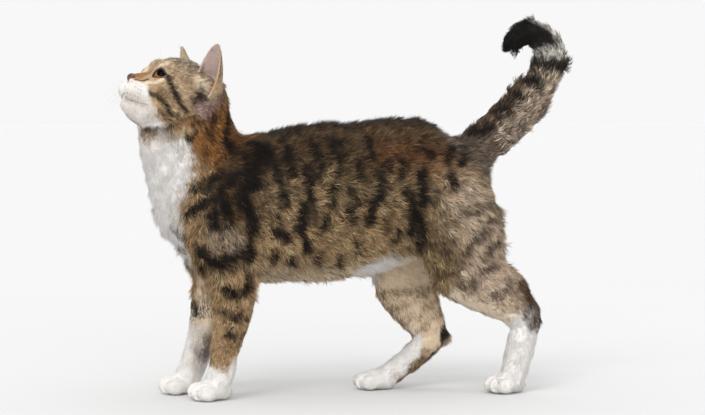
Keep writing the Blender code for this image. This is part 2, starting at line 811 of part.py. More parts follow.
def make_ear(sign, across_steps=12, up_steps=9):
    """An ear in the level head's frame: a rolled sheet, open to the front and side, that narrows to a round tip."""
    base = Vector((EAR_BASE[0], EAR_BASE[1] * sign, EAR_BASE[2]))
    up = Vector((EAR_UP[0], EAR_UP[1] * sign, EAR_UP[2])).normalized()
    across = Vector((EAR_ACROSS[0], EAR_ACROSS[1] * sign, EAR_ACROSS[2]))
    across = (across - up * across.dot(up)).normalized()
    opening = Vector(np.cross(across, up)).normalized()
    opening *= -1 if opening.x > 0 else 1
    grid = []
    for j in range(up_steps + 1):
        v = 1 - (1 - j / up_steps) ** EAR_ROWS_TO_TIP
        height = -EAR_ROOT + (EAR_HEIGHT + EAR_ROOT) * v
        rise = max(0.0, height / EAR_HEIGHT)
        taper = (1 - rise ** EAR_TAPER[0]) ** EAR_TAPER[1]
        half = EAR_HALF_WIDTH * taper * (1 - 0.12 * max(0, -height) / EAR_ROOT) + 1.0 * rise
        roll = math.radians(EAR_ROLL[0] * (1 - rise) + EAR_ROLL[1] * rise)
        radius = half / max(math.sin(roll), math.sin(min(roll, math.pi / 2)))
        lean = EAR_LEAN * rise * rise
        row = []
        for i in range(across_steps + 1):
            u = 2 * i / across_steps - 1
            drop = EAR_INNER_DROP * (1 - rise) * (1 - u)
            row.append(
                base
                + up * (height + drop * 0.4)
                + across * (radius * math.sin(u * roll) - 3 * rise)
                - opening * (radius * (math.cos(u * roll) - math.cos(roll)) - lean)
            )
        grid.append(row)
    grid = np.array([[tuple(point) for point in row] for row in grid])
    along_u, along_v = np.gradient(grid, axis=1), np.gradient(grid, axis=0)
    normal = np.cross(along_u, along_v)
    normal /= np.linalg.norm(normal, axis=2)[:, :, None]
    half_wall = np.linspace(*EAR_THICK_TO_THIN, up_steps + 1)[:, None, None] * EAR_THICKNESS / 2
    both = [grid + normal * half_wall, grid - normal * half_wall]
    width, count = across_steps + 1, (across_steps + 1) * (up_steps + 1)
    vertices = np.vstack([face.reshape(-1, 3) for face in both])
    faces = []
    for layer in range(2):
        for j in range(up_steps):
            for i in range(across_steps):
                a = layer * count + j * width + i
                faces.append((a, a + 1, a + width + 1, a + width))
    rim = [j * width for j in range(up_steps)]
    rim += [up_steps * width + i for i in range(across_steps)]
    rim += [j * width + across_steps for j in range(up_steps, 0, -1)]
    rim += [i for i in range(across_steps, 0, -1)]
    for k, start in enumerate(rim):
        end = rim[(k + 1) % len(rim)]
        faces.append((start, end, end + count, start + count))
    return mesh_object("ear", vertices, faces)


def inflated(obj, distance):
    """A copy of the object with its skin moved outwards."""
    grown = copy_of(obj)
    bm = bmesh.new()
    bm.from_mesh(grown.data)
    bm.normal_update()
    for vertex in bm.verts:
        vertex.co += vertex.normal * distance * MM
    bm.to_mesh(grown.data)
    bm.free()
    return grown


def cut_flesh(whole):
    """The cut parts of the body by name. The head and all above the throat are left out."""
    above = extrusion("above", [*THROAT, (THROAT[-1][0], 450), (THROAT[0][0], 450)], -REACH, REACH)
    whole = boolean(whole, above, "DIFFERENCE")
    whole = boolean(whole, block("floor", (0, 0, -50), (400, 200, 50)), "DIFFERENCE")
    for name, line, low, high in CUTS:
        whole = parted(whole, curtain(name, line, low, high))
    middle = ((0, 40), *HIP_LINE, (160, 40))
    whole = parted(whole, extrusion("middle", middle, -GAP / 2, GAP / 2))
    parts = loose_parts(whole)
    middles = {}
    for part in parts:
        places = np.array([tuple(v.co) for v in part.data.vertices]) / MM
        middles[part.name] = (places.min(axis=0) + places.max(axis=0)) / 2
    found = {}
    for name, seed in SEEDS.items():
        part = min(parts, key=lambda p: np.linalg.norm(middles[p.name] - np.array(seed)))
        parts.remove(part)
        found[name] = part
    for part in parts:
        bpy.data.objects.remove(part)
    for name, part in found.items():
        part.name = name
    return found


def lock(tree, place, lie, shortened, draw):
    """One flat, tapered lock: its root is sunk in the skin, and it bends along the lie of the coat up to its tip."""
    lie = (Vector(lie) + Vector(draw.normal(0, 0.14, 3))).normalized()
    length = LOCK_LENGTH * draw.uniform(0.85, 1.2) * shortened
    width = LOCK_WIDTH * draw.uniform(0.85, 1.15)
    steepness = draw.uniform(0.8, 1.25)
    swing = width * draw.uniform(-0.6, 0.6)

    def section(station, corners):
        along, height, wide, thick, aside = station
        ahead = Vector(place) + lie * length * (along - 0.25)
        skin, normal, _, _ = tree.find_nearest(metres(ahead))
        across = normal.cross(lie).normalized()
        centre = skin / MM + normal * height * steepness + across * swing * aside
        half = across * width * wide / 2
        return [centre + half * a + normal * LOCK_THICKNESS * thick * b for a, b in corners]

    vertices = []
    for station in LOCK_STATIONS:
        vertices += section(station, ((1, 0), (0, 1), (-1, 0)))
    vertices += section(LOCK_TIP, ((0, 0),))
    faces = [(2, 1, 0)]
    for ring in (0, 3):
        faces += [(ring + k, ring + (k + 1) % 3, ring + 3 + (k + 1) % 3, ring + 3 + k) for k in range(3)]
    faces += [(6 + k, 6 + (k + 1) % 3, 9) for k in range(3)]
    return mesh_object("lock", vertices, faces)


def grown(part, locks):
    """The part with its locks fused on: in one union, or one by one where that union would be open."""
    name, bare_volume = part.name, volume(part)
    collection = bpy.data.collections.new("locks")
    for piece in locks:
        collection.objects.link(piece)
    union = copy_of(part).modifiers.new("union", "BOOLEAN")
    union.operation = "UNION"
    union.operand_type = "COLLECTION"
    union.collection = collection
    result = as_mesh(union.id_data)
    bpy.data.collections.remove(collection)
    if is_closed(result) and volume(result) > bare_volume:
        for obj in (part, *locks):
            bpy.data.objects.remove(obj)
        return largest_part(name, result)
    bpy.data.objects.remove(result)
    for piece in locks:
        part = boolean(part, piece, "UNION")
    return largest_part(name, part)


def touches(tree, point):
    """Whether a point is nearer to a part's surface than a lock's clearance, or inside it: a ray leaves it once."""
    if tree.find_nearest(point)[3] < LOCK_CLEARANCE * MM:
        return True
    inside = False
    hit, _, _, _ = tree.ray_cast(point, RAY)
    while hit:
        inside = not inside
        hit, _, _, _ = tree.ray_cast(hit + RAY * GAP * MM * 0.1, RAY)
    return inside


def clear_lock(trees, patch, place, draw):
    """A lock that stays clear of the other parts, shortened where it has to be, or None where it can't."""
    others = [tree for name, tree in trees.items() if name != patch.part]
    for shortened in (1.0, 0.8, 0.62):
        piece = lock(trees[patch.part], place, patch.lie, shortened, draw)
        points = [vertex.co for vertex in piece.data.vertices]
        if not any(touches(tree, point) for tree in others for point in points):
            return piece
        bpy.data.objects.remove(piece)
    return None


def with_locks(parts):
    """The parts with the locks of their patches fused on."""
    draw = np.random.default_rng(LOCK_SEED)
    trees = {name: surface_tree(part) for name, part in parts.items()}
    locks = {}
    for patch in PATCHES:
        for column in range(patch.columns):
            aside = np.array(patch.across) * (column - (patch.columns - 1) / 2)
            for row in range(patch.rows):
                share = (row + 0.5 * (column % 2) + draw.uniform(-0.12, 0.12)) / max(patch.rows - 0.5, 1)
                place = np.array(patch.first) * (1 - share) + np.array(patch.last) * share + aside
                piece = clear_lock(trees, patch, place, draw)
                if piece:
                    locks.setdefault(patch.part, []).append(piece)
    for name, pieces in locks.items():
        parts[name] = grown(parts[name], pieces)
    return parts


def finished_head():
    """The head, ears and eyes, put in place and cut to meet each other and the neck."""
    head = make_head()
    swollen = inflated(head, GAP)
    parts = []
    for side, sign in SIDES.items():
        ear = boolean(make_ear(sign), copy_of(swollen), "DIFFERENCE")
        parts.append(largest_part("ear_" + side, ear))
        eye = make_eye(sign)
        eye.name = "eye_" + side
        parts.append(eye)
    bpy.data.objects.remove(swollen)
    head.name = "head"
    placed([head, *parts], head_matrix())
    outline = [(x, z + GAP) for x, z in THROAT] + [(THROAT[-1][0], 150), (THROAT[0][0], 150)]
    finished = []
    for part in (head, *parts):
        below = extrusion("below", outline, -REACH, REACH)
        finished.append(largest_part(part.name, boolean(part, below, "DIFFERENCE")))
    return finished


def linear(code):
    """A colour written as a hex code, as linear red, green, blue and alpha."""
    parts = [int(code[i : i + 2], 16) / 255 for i in (0, 2, 4)]
    return (*[c / 12.92 if c <= 0.04045 else ((c + 0.055) / 1.055) ** 2.4 for c in parts], 1.0)


def finish(part):
    """Gives a part its own material, by the part's name without its side."""
    kind = part.name.removesuffix("_left").removesuffix("_right")
    material = bpy.data.materials.new(part.name)
    material.use_nodes = True
    shader = material.node_tree.nodes["Principled BSDF"]
    shader.inputs["Base Color"].default_value = linear(COLOURS[kind])
    shader.inputs["Roughness"].default_value = EYE_ROUGHNESS if kind == "eye" else FUR_ROUGHNESS
    shader.inputs["Metallic"].default_value = 0.0
    part.data.materials.clear()
    part.data.materials.append(material)
    part.data.shade_smooth()
    part.data.set_sharp_from_angle(angle=math.radians(50))


def bounds_of(parts):
    """The lowest and highest corner of the box around the parts, in metres."""
    places = np.array([tuple(v.co) for part in parts for v in part.data.vertices])
    return places.min(axis=0), places.max(axis=0)


def settle(parts):
    """Puts each part's origin in its own middle, and parents all to an empty that centres the model on the floor."""
    low, high = bounds_of(parts)
    root = bpy.data.objects.new("cat", None)
    bpy.context.scene.collection.objects.link(root)
    root.location = (-(low[0] + high[0]) / 2, -(low[1] + high[1]) / 2, 0.0)
    for part in parts:
        part_low, part_high = bounds_of([part])
        middle = Vector((part_low + part_high) / 2)
        part.data.transform(Matrix.Translation(-middle))
        part.location = middle
        part.parent = root


def build():
    """Builds every part."""
    for obj in list(bpy.data.objects):
        bpy.data.objects.remove(obj)
    soft = [loft("trunk", trunk_rows(), egg=0.06, dome=0.35), loft("neck", NECK), loft("tail", TAIL, steps=5)]
    for side in SIDES:
        soft += upper_limbs(side)
    masses = [fused("trunk", soft, MELT_TRUNK)]
    for side in SIDES:
        masses += lower_limbs(side)
    masses += placed(head_masses(), head_matrix())
    for name in PAWS:
        masses += paw_masses(name)
    whole = fused("whole", masses, MELT_WHOLE)
    parts = list(with_locks(cut_flesh(whole)).values()) + finished_head()
    for part in parts:
        finish(part)
    settle(parts)


build()
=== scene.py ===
"""A standing wirehaired cat at life size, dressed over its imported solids.

Lengths are millimetres in the cat's own frame unless a name says otherwise: the cat faces -X, its left side
is -Y and the floor is z = 0. One shift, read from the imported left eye, takes that frame to the model's, in
metres.
"""

import json
import logging
import math
from dataclasses import dataclass
from enum import Enum

import bpy
import numpy as np
from mathutils import Matrix, Vector
from mathutils.bvhtree import BVHTree
from mathutils.kdtree import KDTree

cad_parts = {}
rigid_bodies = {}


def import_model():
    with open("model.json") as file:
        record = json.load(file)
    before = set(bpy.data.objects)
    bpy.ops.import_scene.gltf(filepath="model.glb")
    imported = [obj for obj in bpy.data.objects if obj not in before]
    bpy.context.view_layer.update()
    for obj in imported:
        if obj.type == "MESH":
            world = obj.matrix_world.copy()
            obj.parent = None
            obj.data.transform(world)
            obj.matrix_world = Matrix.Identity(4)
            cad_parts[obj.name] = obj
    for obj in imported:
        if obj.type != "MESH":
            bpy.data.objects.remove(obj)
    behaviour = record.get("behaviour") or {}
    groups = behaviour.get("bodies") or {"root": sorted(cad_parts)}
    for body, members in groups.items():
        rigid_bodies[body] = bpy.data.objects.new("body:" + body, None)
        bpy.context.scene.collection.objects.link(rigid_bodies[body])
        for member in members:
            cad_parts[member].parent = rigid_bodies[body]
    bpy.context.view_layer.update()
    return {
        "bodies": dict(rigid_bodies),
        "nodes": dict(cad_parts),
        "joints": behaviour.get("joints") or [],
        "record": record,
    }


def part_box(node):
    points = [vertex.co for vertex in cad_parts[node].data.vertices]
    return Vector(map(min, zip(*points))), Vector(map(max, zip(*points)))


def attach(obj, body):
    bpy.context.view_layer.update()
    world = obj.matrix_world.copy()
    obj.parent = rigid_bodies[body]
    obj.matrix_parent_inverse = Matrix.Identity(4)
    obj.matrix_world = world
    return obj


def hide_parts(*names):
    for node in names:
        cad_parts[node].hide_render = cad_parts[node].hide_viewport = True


MM = 0.001
BODY = "root"
LOG = logging.getLogger("cat")

# The least length that is divided by.
TINY = 1e-9

Point = tuple[float, float, float]
Array = np.ndarray


class Side(Enum):
    """The cat's sides, as the sign of y."""

    LEFT = -1
    RIGHT = 1

    def word(self) -> str:
        """The side's word in the names of solids and pieces."""
        return self.name.lower()


class Space(Enum):
    """The axes that a mark is given in."""

    BODY = "body"
    HEAD = "head"


class Tone(Enum):
    """The coat's and the skin's colours, as sRGB hex."""

    FLANK = "#9A805E"
    SADDLE = "#4A3622"
    SPINE = "#1C1611"
    STRIPE = "#140E09"
    UMBER = "#523A22"
    NECK = "#9C6A38"
    RUST = "#8A5228"
    TAN = "#C29F76"
    BUFF = "#DCC3A4"
    CREAM = "#EAD8C0"
    WHITE = "#EEEAE6"
    PALE_TAN = "#EED6B8"
    DUN = "#D8BFA6"
    EAR_HAIR = "#CFC2B8"
    SMOKE = "#AC9A86"
    TAUPE = "#6F6052"
    ASH = "#C3BEB5"
    INK = "#12100E"
    FACE = "#CBAE8C"
    ORANGE = "#C98F55"
    CHESTNUT = "#80582F"
    PINK = "#C4ADA5"
    MAUVE = "#BE9C94"
    LEATHER = "#6A463B"
    LEATHER_EDGE = "#2A1915"
    RIM = "#17100D"
    IRIS = "#5E3C24"
    IRIS_PALE = "#85582F"
    PUPIL = "#050403"


def linear(colour: str) -> Point:
    """Turn an sRGB hex colour to linear light.

    Args:
        colour: the colour as #RRGGBB.

    Returns:
        The red, green and blue parts in linear light.
    """
    parts = [int(colour[k : k + 2], 16) / 255 for k in (1, 3, 5)]
    return tuple(c / 12.92 if c <= 0.04045 else ((c + 0.055) / 1.055) ** 2.4 for c in parts)


def unit(vectors: Array) -> Array:
    """Scale each row of an array to length one."""
    return vectors / np.maximum(np.linalg.norm(vectors, axis=-1, keepdims=True), TINY)


def smooth(low: float, high: float, values: Array) -> Array:
    """Rise smoothly from 0 at low to 1 at high."""
    share = np.clip((values - low) / (high - low), 0, 1)
    return share * share * (3 - 2 * share)


def on_side(points: Array, side: Side) -> Array:
    """Put points or directions of the right side on either side."""
    return np.array(points, float) * (1, side.value, 1)


@dataclass(frozen=True)
class HeadPose:
    """Where the head's own axes stand in the cat's frame."""

    place: Point = (-179, -8, 300)
    pitch: float = 30.0
    yaw: float = 13.0

    def turn(self) -> Array:
        """The turn from the head's axes to the cat's, three by three."""
        sideways = Matrix.Rotation(math.radians(self.yaw), 3, "Z")
        return np.array(sideways @ Matrix.Rotation(math.radians(self.pitch), 3, "Y"))

    def outward(self, points: Array) -> Array:
        """Take points from the head's axes to the cat's frame."""
        return np.asarray(points, float) @ self.turn().T + np.array(self.place)

    def inward(self, points: Array) -> Array:
        """Take points from the cat's frame to the head's axes."""
        return (np.asarray(points, float) - np.array(self.place)) @ self.turn()

    def turned(self, directions: Array) -> Array:
        """Turn directions from the head's axes to the cat's frame."""
        return np.asarray(directions, float) @ self.turn().T


@dataclass(frozen=True)
class EyeShape:
    """The right eyeball's place and the almond between its lids, in the head's axes.

    A gap is measured only in front of the ball's middle and within near radii of it; elsewhere it is far_gap.
    """

    centre: Point = (-22.5, 16.5, 2.5)
    radius: float = 11.0
    sideways: float = 28.0
    lift: float = 6.0
    slant: float = 18.0
    almond: tuple[tuple[float, float], ...] = (
        (-7.6, -4.9), (-4.6, -1.0), (-1.8, 2.6), (1.0, 5.2), (3.8, 4.9), (6.8, 2.4), (9.4, -1.6),
        (7.0, -4.0), (2.8, -5.7), (-2.6, -6.3),
    )
    steps: int = 6
    near: float = 1.8
    far_gap: float = 99.0

    def middle(self, side: Side) -> Array:
        """The middle of one eyeball."""
        return on_side(self.centre, side)

    def axes(self, side: Side) -> Array:
        """Find one eye's axes.

        Args:
            side: the eye.

        Returns:
            The ways out of the face, across the slit and up, as rows.
        """
        out = direction(self.sideways * side.value, self.lift)
        across = Vector((0, 0, 1)).cross(out).normalized()
        turn = Matrix.Rotation(math.radians(-side.value * self.slant), 3, out)
        return np.array((out, turn @ across, turn @ out.cross(across)))

    def edge(self, turns: Array) -> Array:
        """Find the almond's edge.

        Args:
            turns: turns about the eye's axis.

        Returns:
            How far the edge lies from the axis at each turn.
        """
        loop = refine(np.array(self.almond + self.almond[:1]), self.steps)[:-1]
        angles = np.arctan2(loop[:, 1], loop[:, 0])
        order = np.argsort(angles)
        return np.interp(turns, angles[order], np.linalg.norm(loop, axis=1)[order], period=math.tau)

    def outline(self, side: Side, reach: float, spread: float, points: int) -> Array:
        """The almond's edge laid on a ball.

        Args:
            side: the eye.
            reach: the ball's radius.
            spread: the almond's size against the opening.
            points: how many points go round.

        Returns:
            The points in the head's axes.
        """
        turns = np.linspace(0, math.tau, points, endpoint=False)
        away = self.edge(turns) * spread
        rows = (np.sqrt(reach**2 - away**2), -side.value * away * np.cos(turns), away * np.sin(turns))
        return self.middle(side) + np.stack(rows, axis=1) @ self.axes(side)

    def gap(self, side: Side, points: Array) -> Array:
        """Measure from the almond, as it is seen along the eye's axis.

        Args:
            side: the eye.
            points: places in the head's axes.

        Returns:
            How far each place lies outside the almond.
        """
        away = (points - self.middle(side)) @ self.axes(side).T
        turns = np.arctan2(away[:, 2], -side.value * away[:, 1])
        beyond = np.hypot(away[:, 1], away[:, 2]) - self.edge(turns)
        near = (away[:, 0] > 0) & (np.linalg.norm(away, axis=1) < self.radius * self.near)
        return np.where(near, beyond, self.far_gap)


def refine(line: Array, parts: int) -> Array:
    """Put evenly spaced points between a line's points, along a smooth curve through them.

    Args:
        line: the line's points.
        parts: how many parts each stretch is cut into.

    Returns:
        The points of the finer line.
    """
    ends = np.vstack((2 * line[0] - line[1], line, 2 * line[-1] - line[-2]))
    rows = []
    for k in range(1, len(ends) - 2):
        before, start, end, after = ends[k - 1 : k + 3]
        slope = end - before
        bend = 2 * before - 5 * start + 4 * end - after
        twist = 3 * start - before - 3 * end + after
        for share in np.arange(parts) / parts:
            rows.append(0.5 * (2 * start + slope * share + bend * share**2 + twist * share**3))
    rows.append(line[-1])
    return np.array(rows)


def direction(sideways: float, lift: float) -> Vector:
    """A direction out of the face, turned sideways towards +Y and lifted, both in degrees."""
    side, up = math.radians(sideways), math.radians(lift)
    return Vector((-math.cos(side) * math.cos(up), math.sin(side) * math.cos(up), math.sin(up)))


HEAD = HeadPose()
EYE = EyeShape()


class Place:
    """The step between the cat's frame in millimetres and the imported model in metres."""

    def __init__(self) -> None:
        """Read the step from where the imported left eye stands."""
        low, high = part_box("eye_left")
        packed = (np.array(low) + np.array(high)) / 2
        self.step = packed - HEAD.outward(EYE.middle(Side.LEFT)) * MM

    def model(self, points: Array) -> Array:
        """Take points from the cat's frame to the model."""
        return np.asarray(points, float) * MM + self.step

    def cat(self, points: Array) -> Array:
        """Take points from the model to the cat's frame."""
        return (np.asarray(points, float) - self.step) / MM

    def head_matrix(self) -> Matrix:
        """The matrix that takes the head's axes in millimetres to the model."""
        place = self.model(np.array(HEAD.place))
        return Matrix.Translation(place) @ Matrix(HEAD.turn()).to_4x4() @ Matrix.Scale(MM, 4)


TAIL_LINE = (
    (96, 0, 226), (120, 0, 239), (142, 0, 256), (161, 0, 273), (178, 0, 288), (191, 0, 303),
    (200, 0, 320), (205, -1, 337), (202, -2, 351), (193, -3, 359.5), (182, -4, 361.5), (171, -5, 359),
    (162, -5, 351), (157, -5, 342),
)
FORELEG_LEFT = (
    (-127, -34, 140), (-126, -32, 112), (-127, -30, 82), (-133, -28, 52), (-136, -27, 32),
    (-140, -26, 22), (-152, -26, 15), (-168, -26, 8),
)
FORELEG_RIGHT = (
    (-130, 34, 140), (-134, 33, 112), (-140, 31, 82), (-149, 29, 52), (-156, 28, 32), (-162, 28, 22),
    (-175, 28, 15), (-190, 28, 8),
)
HIND_LEFT = (
    (90, -42, 134), (118, -41, 116), (143, -38, 101), (162, -36, 84), (172, -34, 68), (165, -33, 45),
    (158, -32, 22), (145, -32, 14), (130, -32, 8),
)
HIND_RIGHT = (
    (58, 40, 128), (62, 38, 104), (73, 36, 84), (88, 33, 62), (78, 29, 40), (66, 26, 30), (45, 23, 18),
    (24, 22, 12), (8, 22, 8),
)
TRUNK_LINE = ((-200, 0, 235), (-150, 0, 195), (-60, 0, 185), (40, 0, 185), (150, 0, 190))
NECK_LINE = ((-150, 0, 180), (-158, -4, 240), (-160, -6, 305))
HEAD_LINE = tuple(map(tuple, HEAD.outward(np.array([(-60, 0, -12), (0, 0, -4), (45, 0, 0)]))))

# Each row is a place on the coat and the way its hair lies there. One with y above 0 stands for both sides.
LIE = (
    ((-128, 0, 285), (0.8, 0, -0.6)), ((-118, 0, 262), (0.9, 0, -0.45)), ((-100, 0, 252), (1, 0, -0.1)),
    ((-60, 0, 252), (1, 0, -0.03)), ((-20, 0, 250), (1, 0, 0)), ((20, 0, 250), (1, 0, 0)),
    ((60, 0, 250), (1, 0, 0.02)), ((95, 0, 248), (1, 0, 0.1)), ((118, 0, 250), (0.85, 0, 0.5)),
    ((-155, 38, 270), (0.45, 0, -0.89)), ((-165, 38, 240), (0.3, 0, -0.95)),
    ((-140, 40, 235), (0.6, 0, -0.8)), ((-203, 0, 262), (0.15, 0, -0.99)),
    ((-200, 20, 262), (0.25, 0.1, -0.95)), ((-197, 0, 230), (0.1, 0, -1)),
    ((-190, 22, 215), (0.2, 0.1, -0.97)), ((-186, 0, 190), (0.15, 0, -0.99)),
    ((-178, 0, 160), (0.45, 0, -0.9)), ((-150, 0, 125), (0.95, 0, -0.3)),
    ((-150, 50, 200), (0.45, 0, -0.9)), ((-130, 50, 225), (0.7, 0, -0.7)),
    ((-140, 55, 165), (0.35, 0, -0.94)), ((-115, 52, 190), (0.75, 0, -0.65)),
    ((-115, 50, 150), (0.5, 0, -0.87)), ((-90, 35, 245), (0.96, 0, -0.26)),
    ((-50, 38, 243), (0.97, 0, -0.2)), ((-10, 38, 242), (0.97, 0, -0.2)),
    ((30, 38, 242), (0.97, 0, -0.2)), ((70, 38, 240), (0.95, 0, -0.3)),
    ((-80, 58, 200), (0.92, 0, -0.38)), ((-40, 60, 195), (0.93, 0, -0.36)),
    ((0, 60, 195), (0.94, 0, -0.34)), ((40, 58, 200), (0.93, 0, -0.36)),
    ((-80, 50, 150), (0.9, 0, -0.42)), ((-40, 48, 145), (0.9, 0, -0.42)), ((0, 48, 145), (0.9, 0, -0.42)),
    ((40, 48, 150), (0.88, 0, -0.46)), ((-120, 0, 115), (1, 0, 0)), ((-80, 0, 113), (1, 0, 0)),
    ((-40, 0, 112), (1, 0, 0)), ((0, 0, 112), (1, 0, 0)), ((30, 0, 112), (1, 0, 0)),
    ((80, 50, 225), (0.85, 0, -0.52)), ((110, 40, 225), (0.8, 0, -0.6)),
    ((130, 20, 230), (0.75, 0, -0.66)), ((85, 62, 190), (0.6, 0, -0.8)),
    ((115, 62, 190), (0.62, 0, -0.78)), ((100, 64, 160), (0.6, 0, -0.8)),
    ((130, 52, 170), (0.5, 0, -0.86)), ((80, 60, 140), (0.55, 0, -0.83)),
    ((110, 62, 135), (0.62, 0, -0.78)), ((140, 50, 130), (0.55, 0, -0.83)),
    ((148, 40, 190), (0.25, 0, -0.97)), ((150, 35, 150), (0.3, 0, -0.95)),
)


@dataclass(frozen=True)
class Mark:
    """A streak or a blot of one tone: a line with a half width whose edge fades."""

    tone: Tone
    half: float
    points: tuple[Point, ...]
    soft: float = 0.5
    strength: float = 1.0
    mirrored: bool = True
    space: Space = Space.BODY

    def lines(self) -> list[Array]:
        """Lay the mark's line on each side that carries it.

        Returns:
            The lines in the cat's frame.
        """
        line = np.array(self.points, float).reshape(-1, 3)
        lines = [line]
        if self.mirrored:
            lines.append(on_side(line, Side.LEFT) + MIRROR_SHIFT * (self.space is Space.BODY))
        return [HEAD.outward(row) if self.space is Space.HEAD else row for row in lines]

    def share(self, points: Array) -> Array:
        """Find how much of the mark each point carries.

        Args:
            points: places in the cat's frame.

        Returns:
            A share for each point, from 0 to the mark's strength.
        """
        share = np.zeros(len(points))
        reach = self.half * (1 + self.soft)
        for line in self.lines():
            low, high = line.min(0) - reach, line.max(0) + reach
            near = np.flatnonzero(np.all((points > low) & (points < high), axis=1))
            if len(near):
                gap = distance_to_line(points[near], line)
                amount = 1 - smooth(self.half * (1 - self.soft), reach, gap)
                share[near] = np.maximum(share[near], amount)
        return share * self.strength


@dataclass(frozen=True)
class Band:
    """A ring of one tone round a leg or the tail."""

    tone: Tone
    half: float
    centre: Point
    axis: Point
    reach: float = 24.0
    soft: float = 0.45
    strength: float = 1.0

    def share(self, points: Array) -> Array:
        """Find how much of the ring each point carries.

        Args:
            points: places in the cat's frame.

        Returns:
            A share for each point, from 0 to the ring's strength.
        """
        away = points - np.array(self.centre, float)
        gap = np.abs(away @ unit(np.array(self.axis, float)))
        near = np.linalg.norm(away, axis=1) < self.reach
        edge = smooth(self.half * (1 - self.soft), self.half * (1 + self.soft), gap)
        return near * self.strength * (1 - edge)


# The right side's marks stand a little off the left side's, as no cat is marked evenly.
MIRROR_SHIFT = np.array((5.0, 0.0, -3.0))

# A dark streak's half width is given as its core's, and its fading edge adds to that.
STREAK_WIDENING = 1.32
STREAK_SOFT = 0.55


def distance_to_line(points: Array, line: Array) -> Array:
    """Measure from a line.

    Args:
        points: the points measured.
        line: the line's points.

    Returns:
        The distance from each point to the nearest part of the line.
    """
    if len(line) == 1:
        return np.linalg.norm(points - line[0], axis=1)
    best = np.full(len(points), np.inf)
    for start, end in zip(line[:-1], line[1:]):
        along = end - start
        share = np.clip((points - start) @ along / max(along @ along, TINY), 0, 1)
        best = np.minimum(best, np.linalg.norm(points - start - share[:, None] * along, axis=1))
    return best


def streak(half: float, *points: Point, tone: Tone = Tone.STRIPE, strength: float = 1.0) -> Mark:
    """A dark tabby streak on both sides."""
    return Mark(tone, half * STREAK_WIDENING, points, STREAK_SOFT, strength)


def face(tone: Tone, half: float, *points: Point, soft: float = 0.5, strength: float = 1.0) -> Mark:
    """A mark on both halves of the face, in the head's axes."""
    return Mark(tone, half, points, soft, strength, True, Space.HEAD)


GROUNDS = (
    Mark(Tone.SADDLE, 30, ((-115, 0, 266), (-60, 0, 266), (0, 0, 266), (60, 0, 266), (105, 0, 255)), 0.5,
         0.9, False),
    Mark(Tone.SADDLE, 27, ((-112, -40, 250), (-50, -42, 248), (20, -42, 248), (70, -42, 248),
                           (104, -32, 244)), 0.8, 0.85),
    Mark(Tone.SPINE, 17, ((-122, 0, 264), (-60, 0, 260), (0, 0, 262), (60, 0, 264), (112, 0, 250)), 0.7,
         0.92, False),
    Mark(Tone.TAN, 17, ((84, -54, 224), (108, -46, 226)), 0.8, 0.4),
    Mark(Tone.RUST, 16, ((20, -46, 240), (58, -50, 236), (92, -46, 232)), 0.8, 0.28),
    Mark(Tone.TAN, 30, ((-90, -54, 146), (-40, -54, 146), (20, -54, 146)), 0.8, 0.6),
    Mark(Tone.BUFF, 37, ((-110, 0, 112), (-60, 0, 112), (0, 0, 112), (30, 0, 112)), 0.5, 0.9, False),
    Mark(Tone.WHITE, 17, ((12, -22, 118), (30, -28, 124), (49, -16, 120)), 0.5, 0.95),
    Mark(Tone.NECK, 26, ((-172, -36, 262), (-154, -38, 240), (-144, -37, 252), (-126, -20, 268)), 0.4, 0.95),
    Mark(Tone.TAN, 12, ((-166, -42, 228), (-156, -45, 216), (-170, -42, 205)), 0.6, 0.8),
    Mark(Tone.UMBER, 19, ((-118, -30, 248), (-124, -48, 226), (-138, -53, 206), (-122, -54, 190)), 0.6, 0.85),
    Mark(Tone.TAN, 12, ((-180, -34, 200), (-176, -40, 180), (-160, -50, 150)), 0.6, 0.7),
    Mark(Tone.WHITE, 19, ((-205, -20, 262), (-200, -22, 240), (-194, -20, 215), (-188, -16, 190),
                          (-182, -12, 165))),
    Mark(Tone.WHITE, 15, ((-192, -34, 258), (-183, -38, 252), (-180, -34, 235), (-184, -28, 205)), 0.35),
    Mark(Tone.WHITE, 14, ((-180, -18, 165), (-172, -16, 145)), 0.5),
    Mark(Tone.WHITE, 22, ((-212, 0, 262), (-206, 0, 235), (-199, 0, 205), (-190, 0, 175), (-180, 0, 150)),
         0.4, 1, False),
    Mark(Tone.TAUPE, 46, TAIL_LINE[1:], 0.3, 1.0, False),
    Mark(Tone.DUN, 28, ((108, -56, 190), (120, -54, 160), (126, -50, 130)), 0.6, 0.8),
    Mark(Tone.DUN, 30, HIND_RIGHT[1:4], 0.4, 0.8, False),
    # The far (right) hind leg's inner side is paler: partly its own paler hair, partly painted light that
    # lifts it out of the body's shade.
    Mark(Tone.PALE_TAN, 32, ((54, 8, 128), (60, 8, 104)), 0.25, 1.0, False),
    Mark(Tone.PALE_TAN, 25, ((60, 14, 104), (73, 14, 84), (86, 14, 62)), 0.3, 1.0, False),
    Mark(Tone.DUN, 26, HIND_LEFT[1:4], 0.4, 0.8, False),
    Mark(Tone.TAN, 24, FORELEG_LEFT[1:4], 0.2, 1.0, False),
    Mark(Tone.TAN, 26, FORELEG_RIGHT[1:4], 0.2, 1.0, False),
    Mark(Tone.PALE_TAN, 22, ((-134, 14, 112), (-140, 13, 82), (-149, 13, 52)), 0.3, 1.0, False),
)

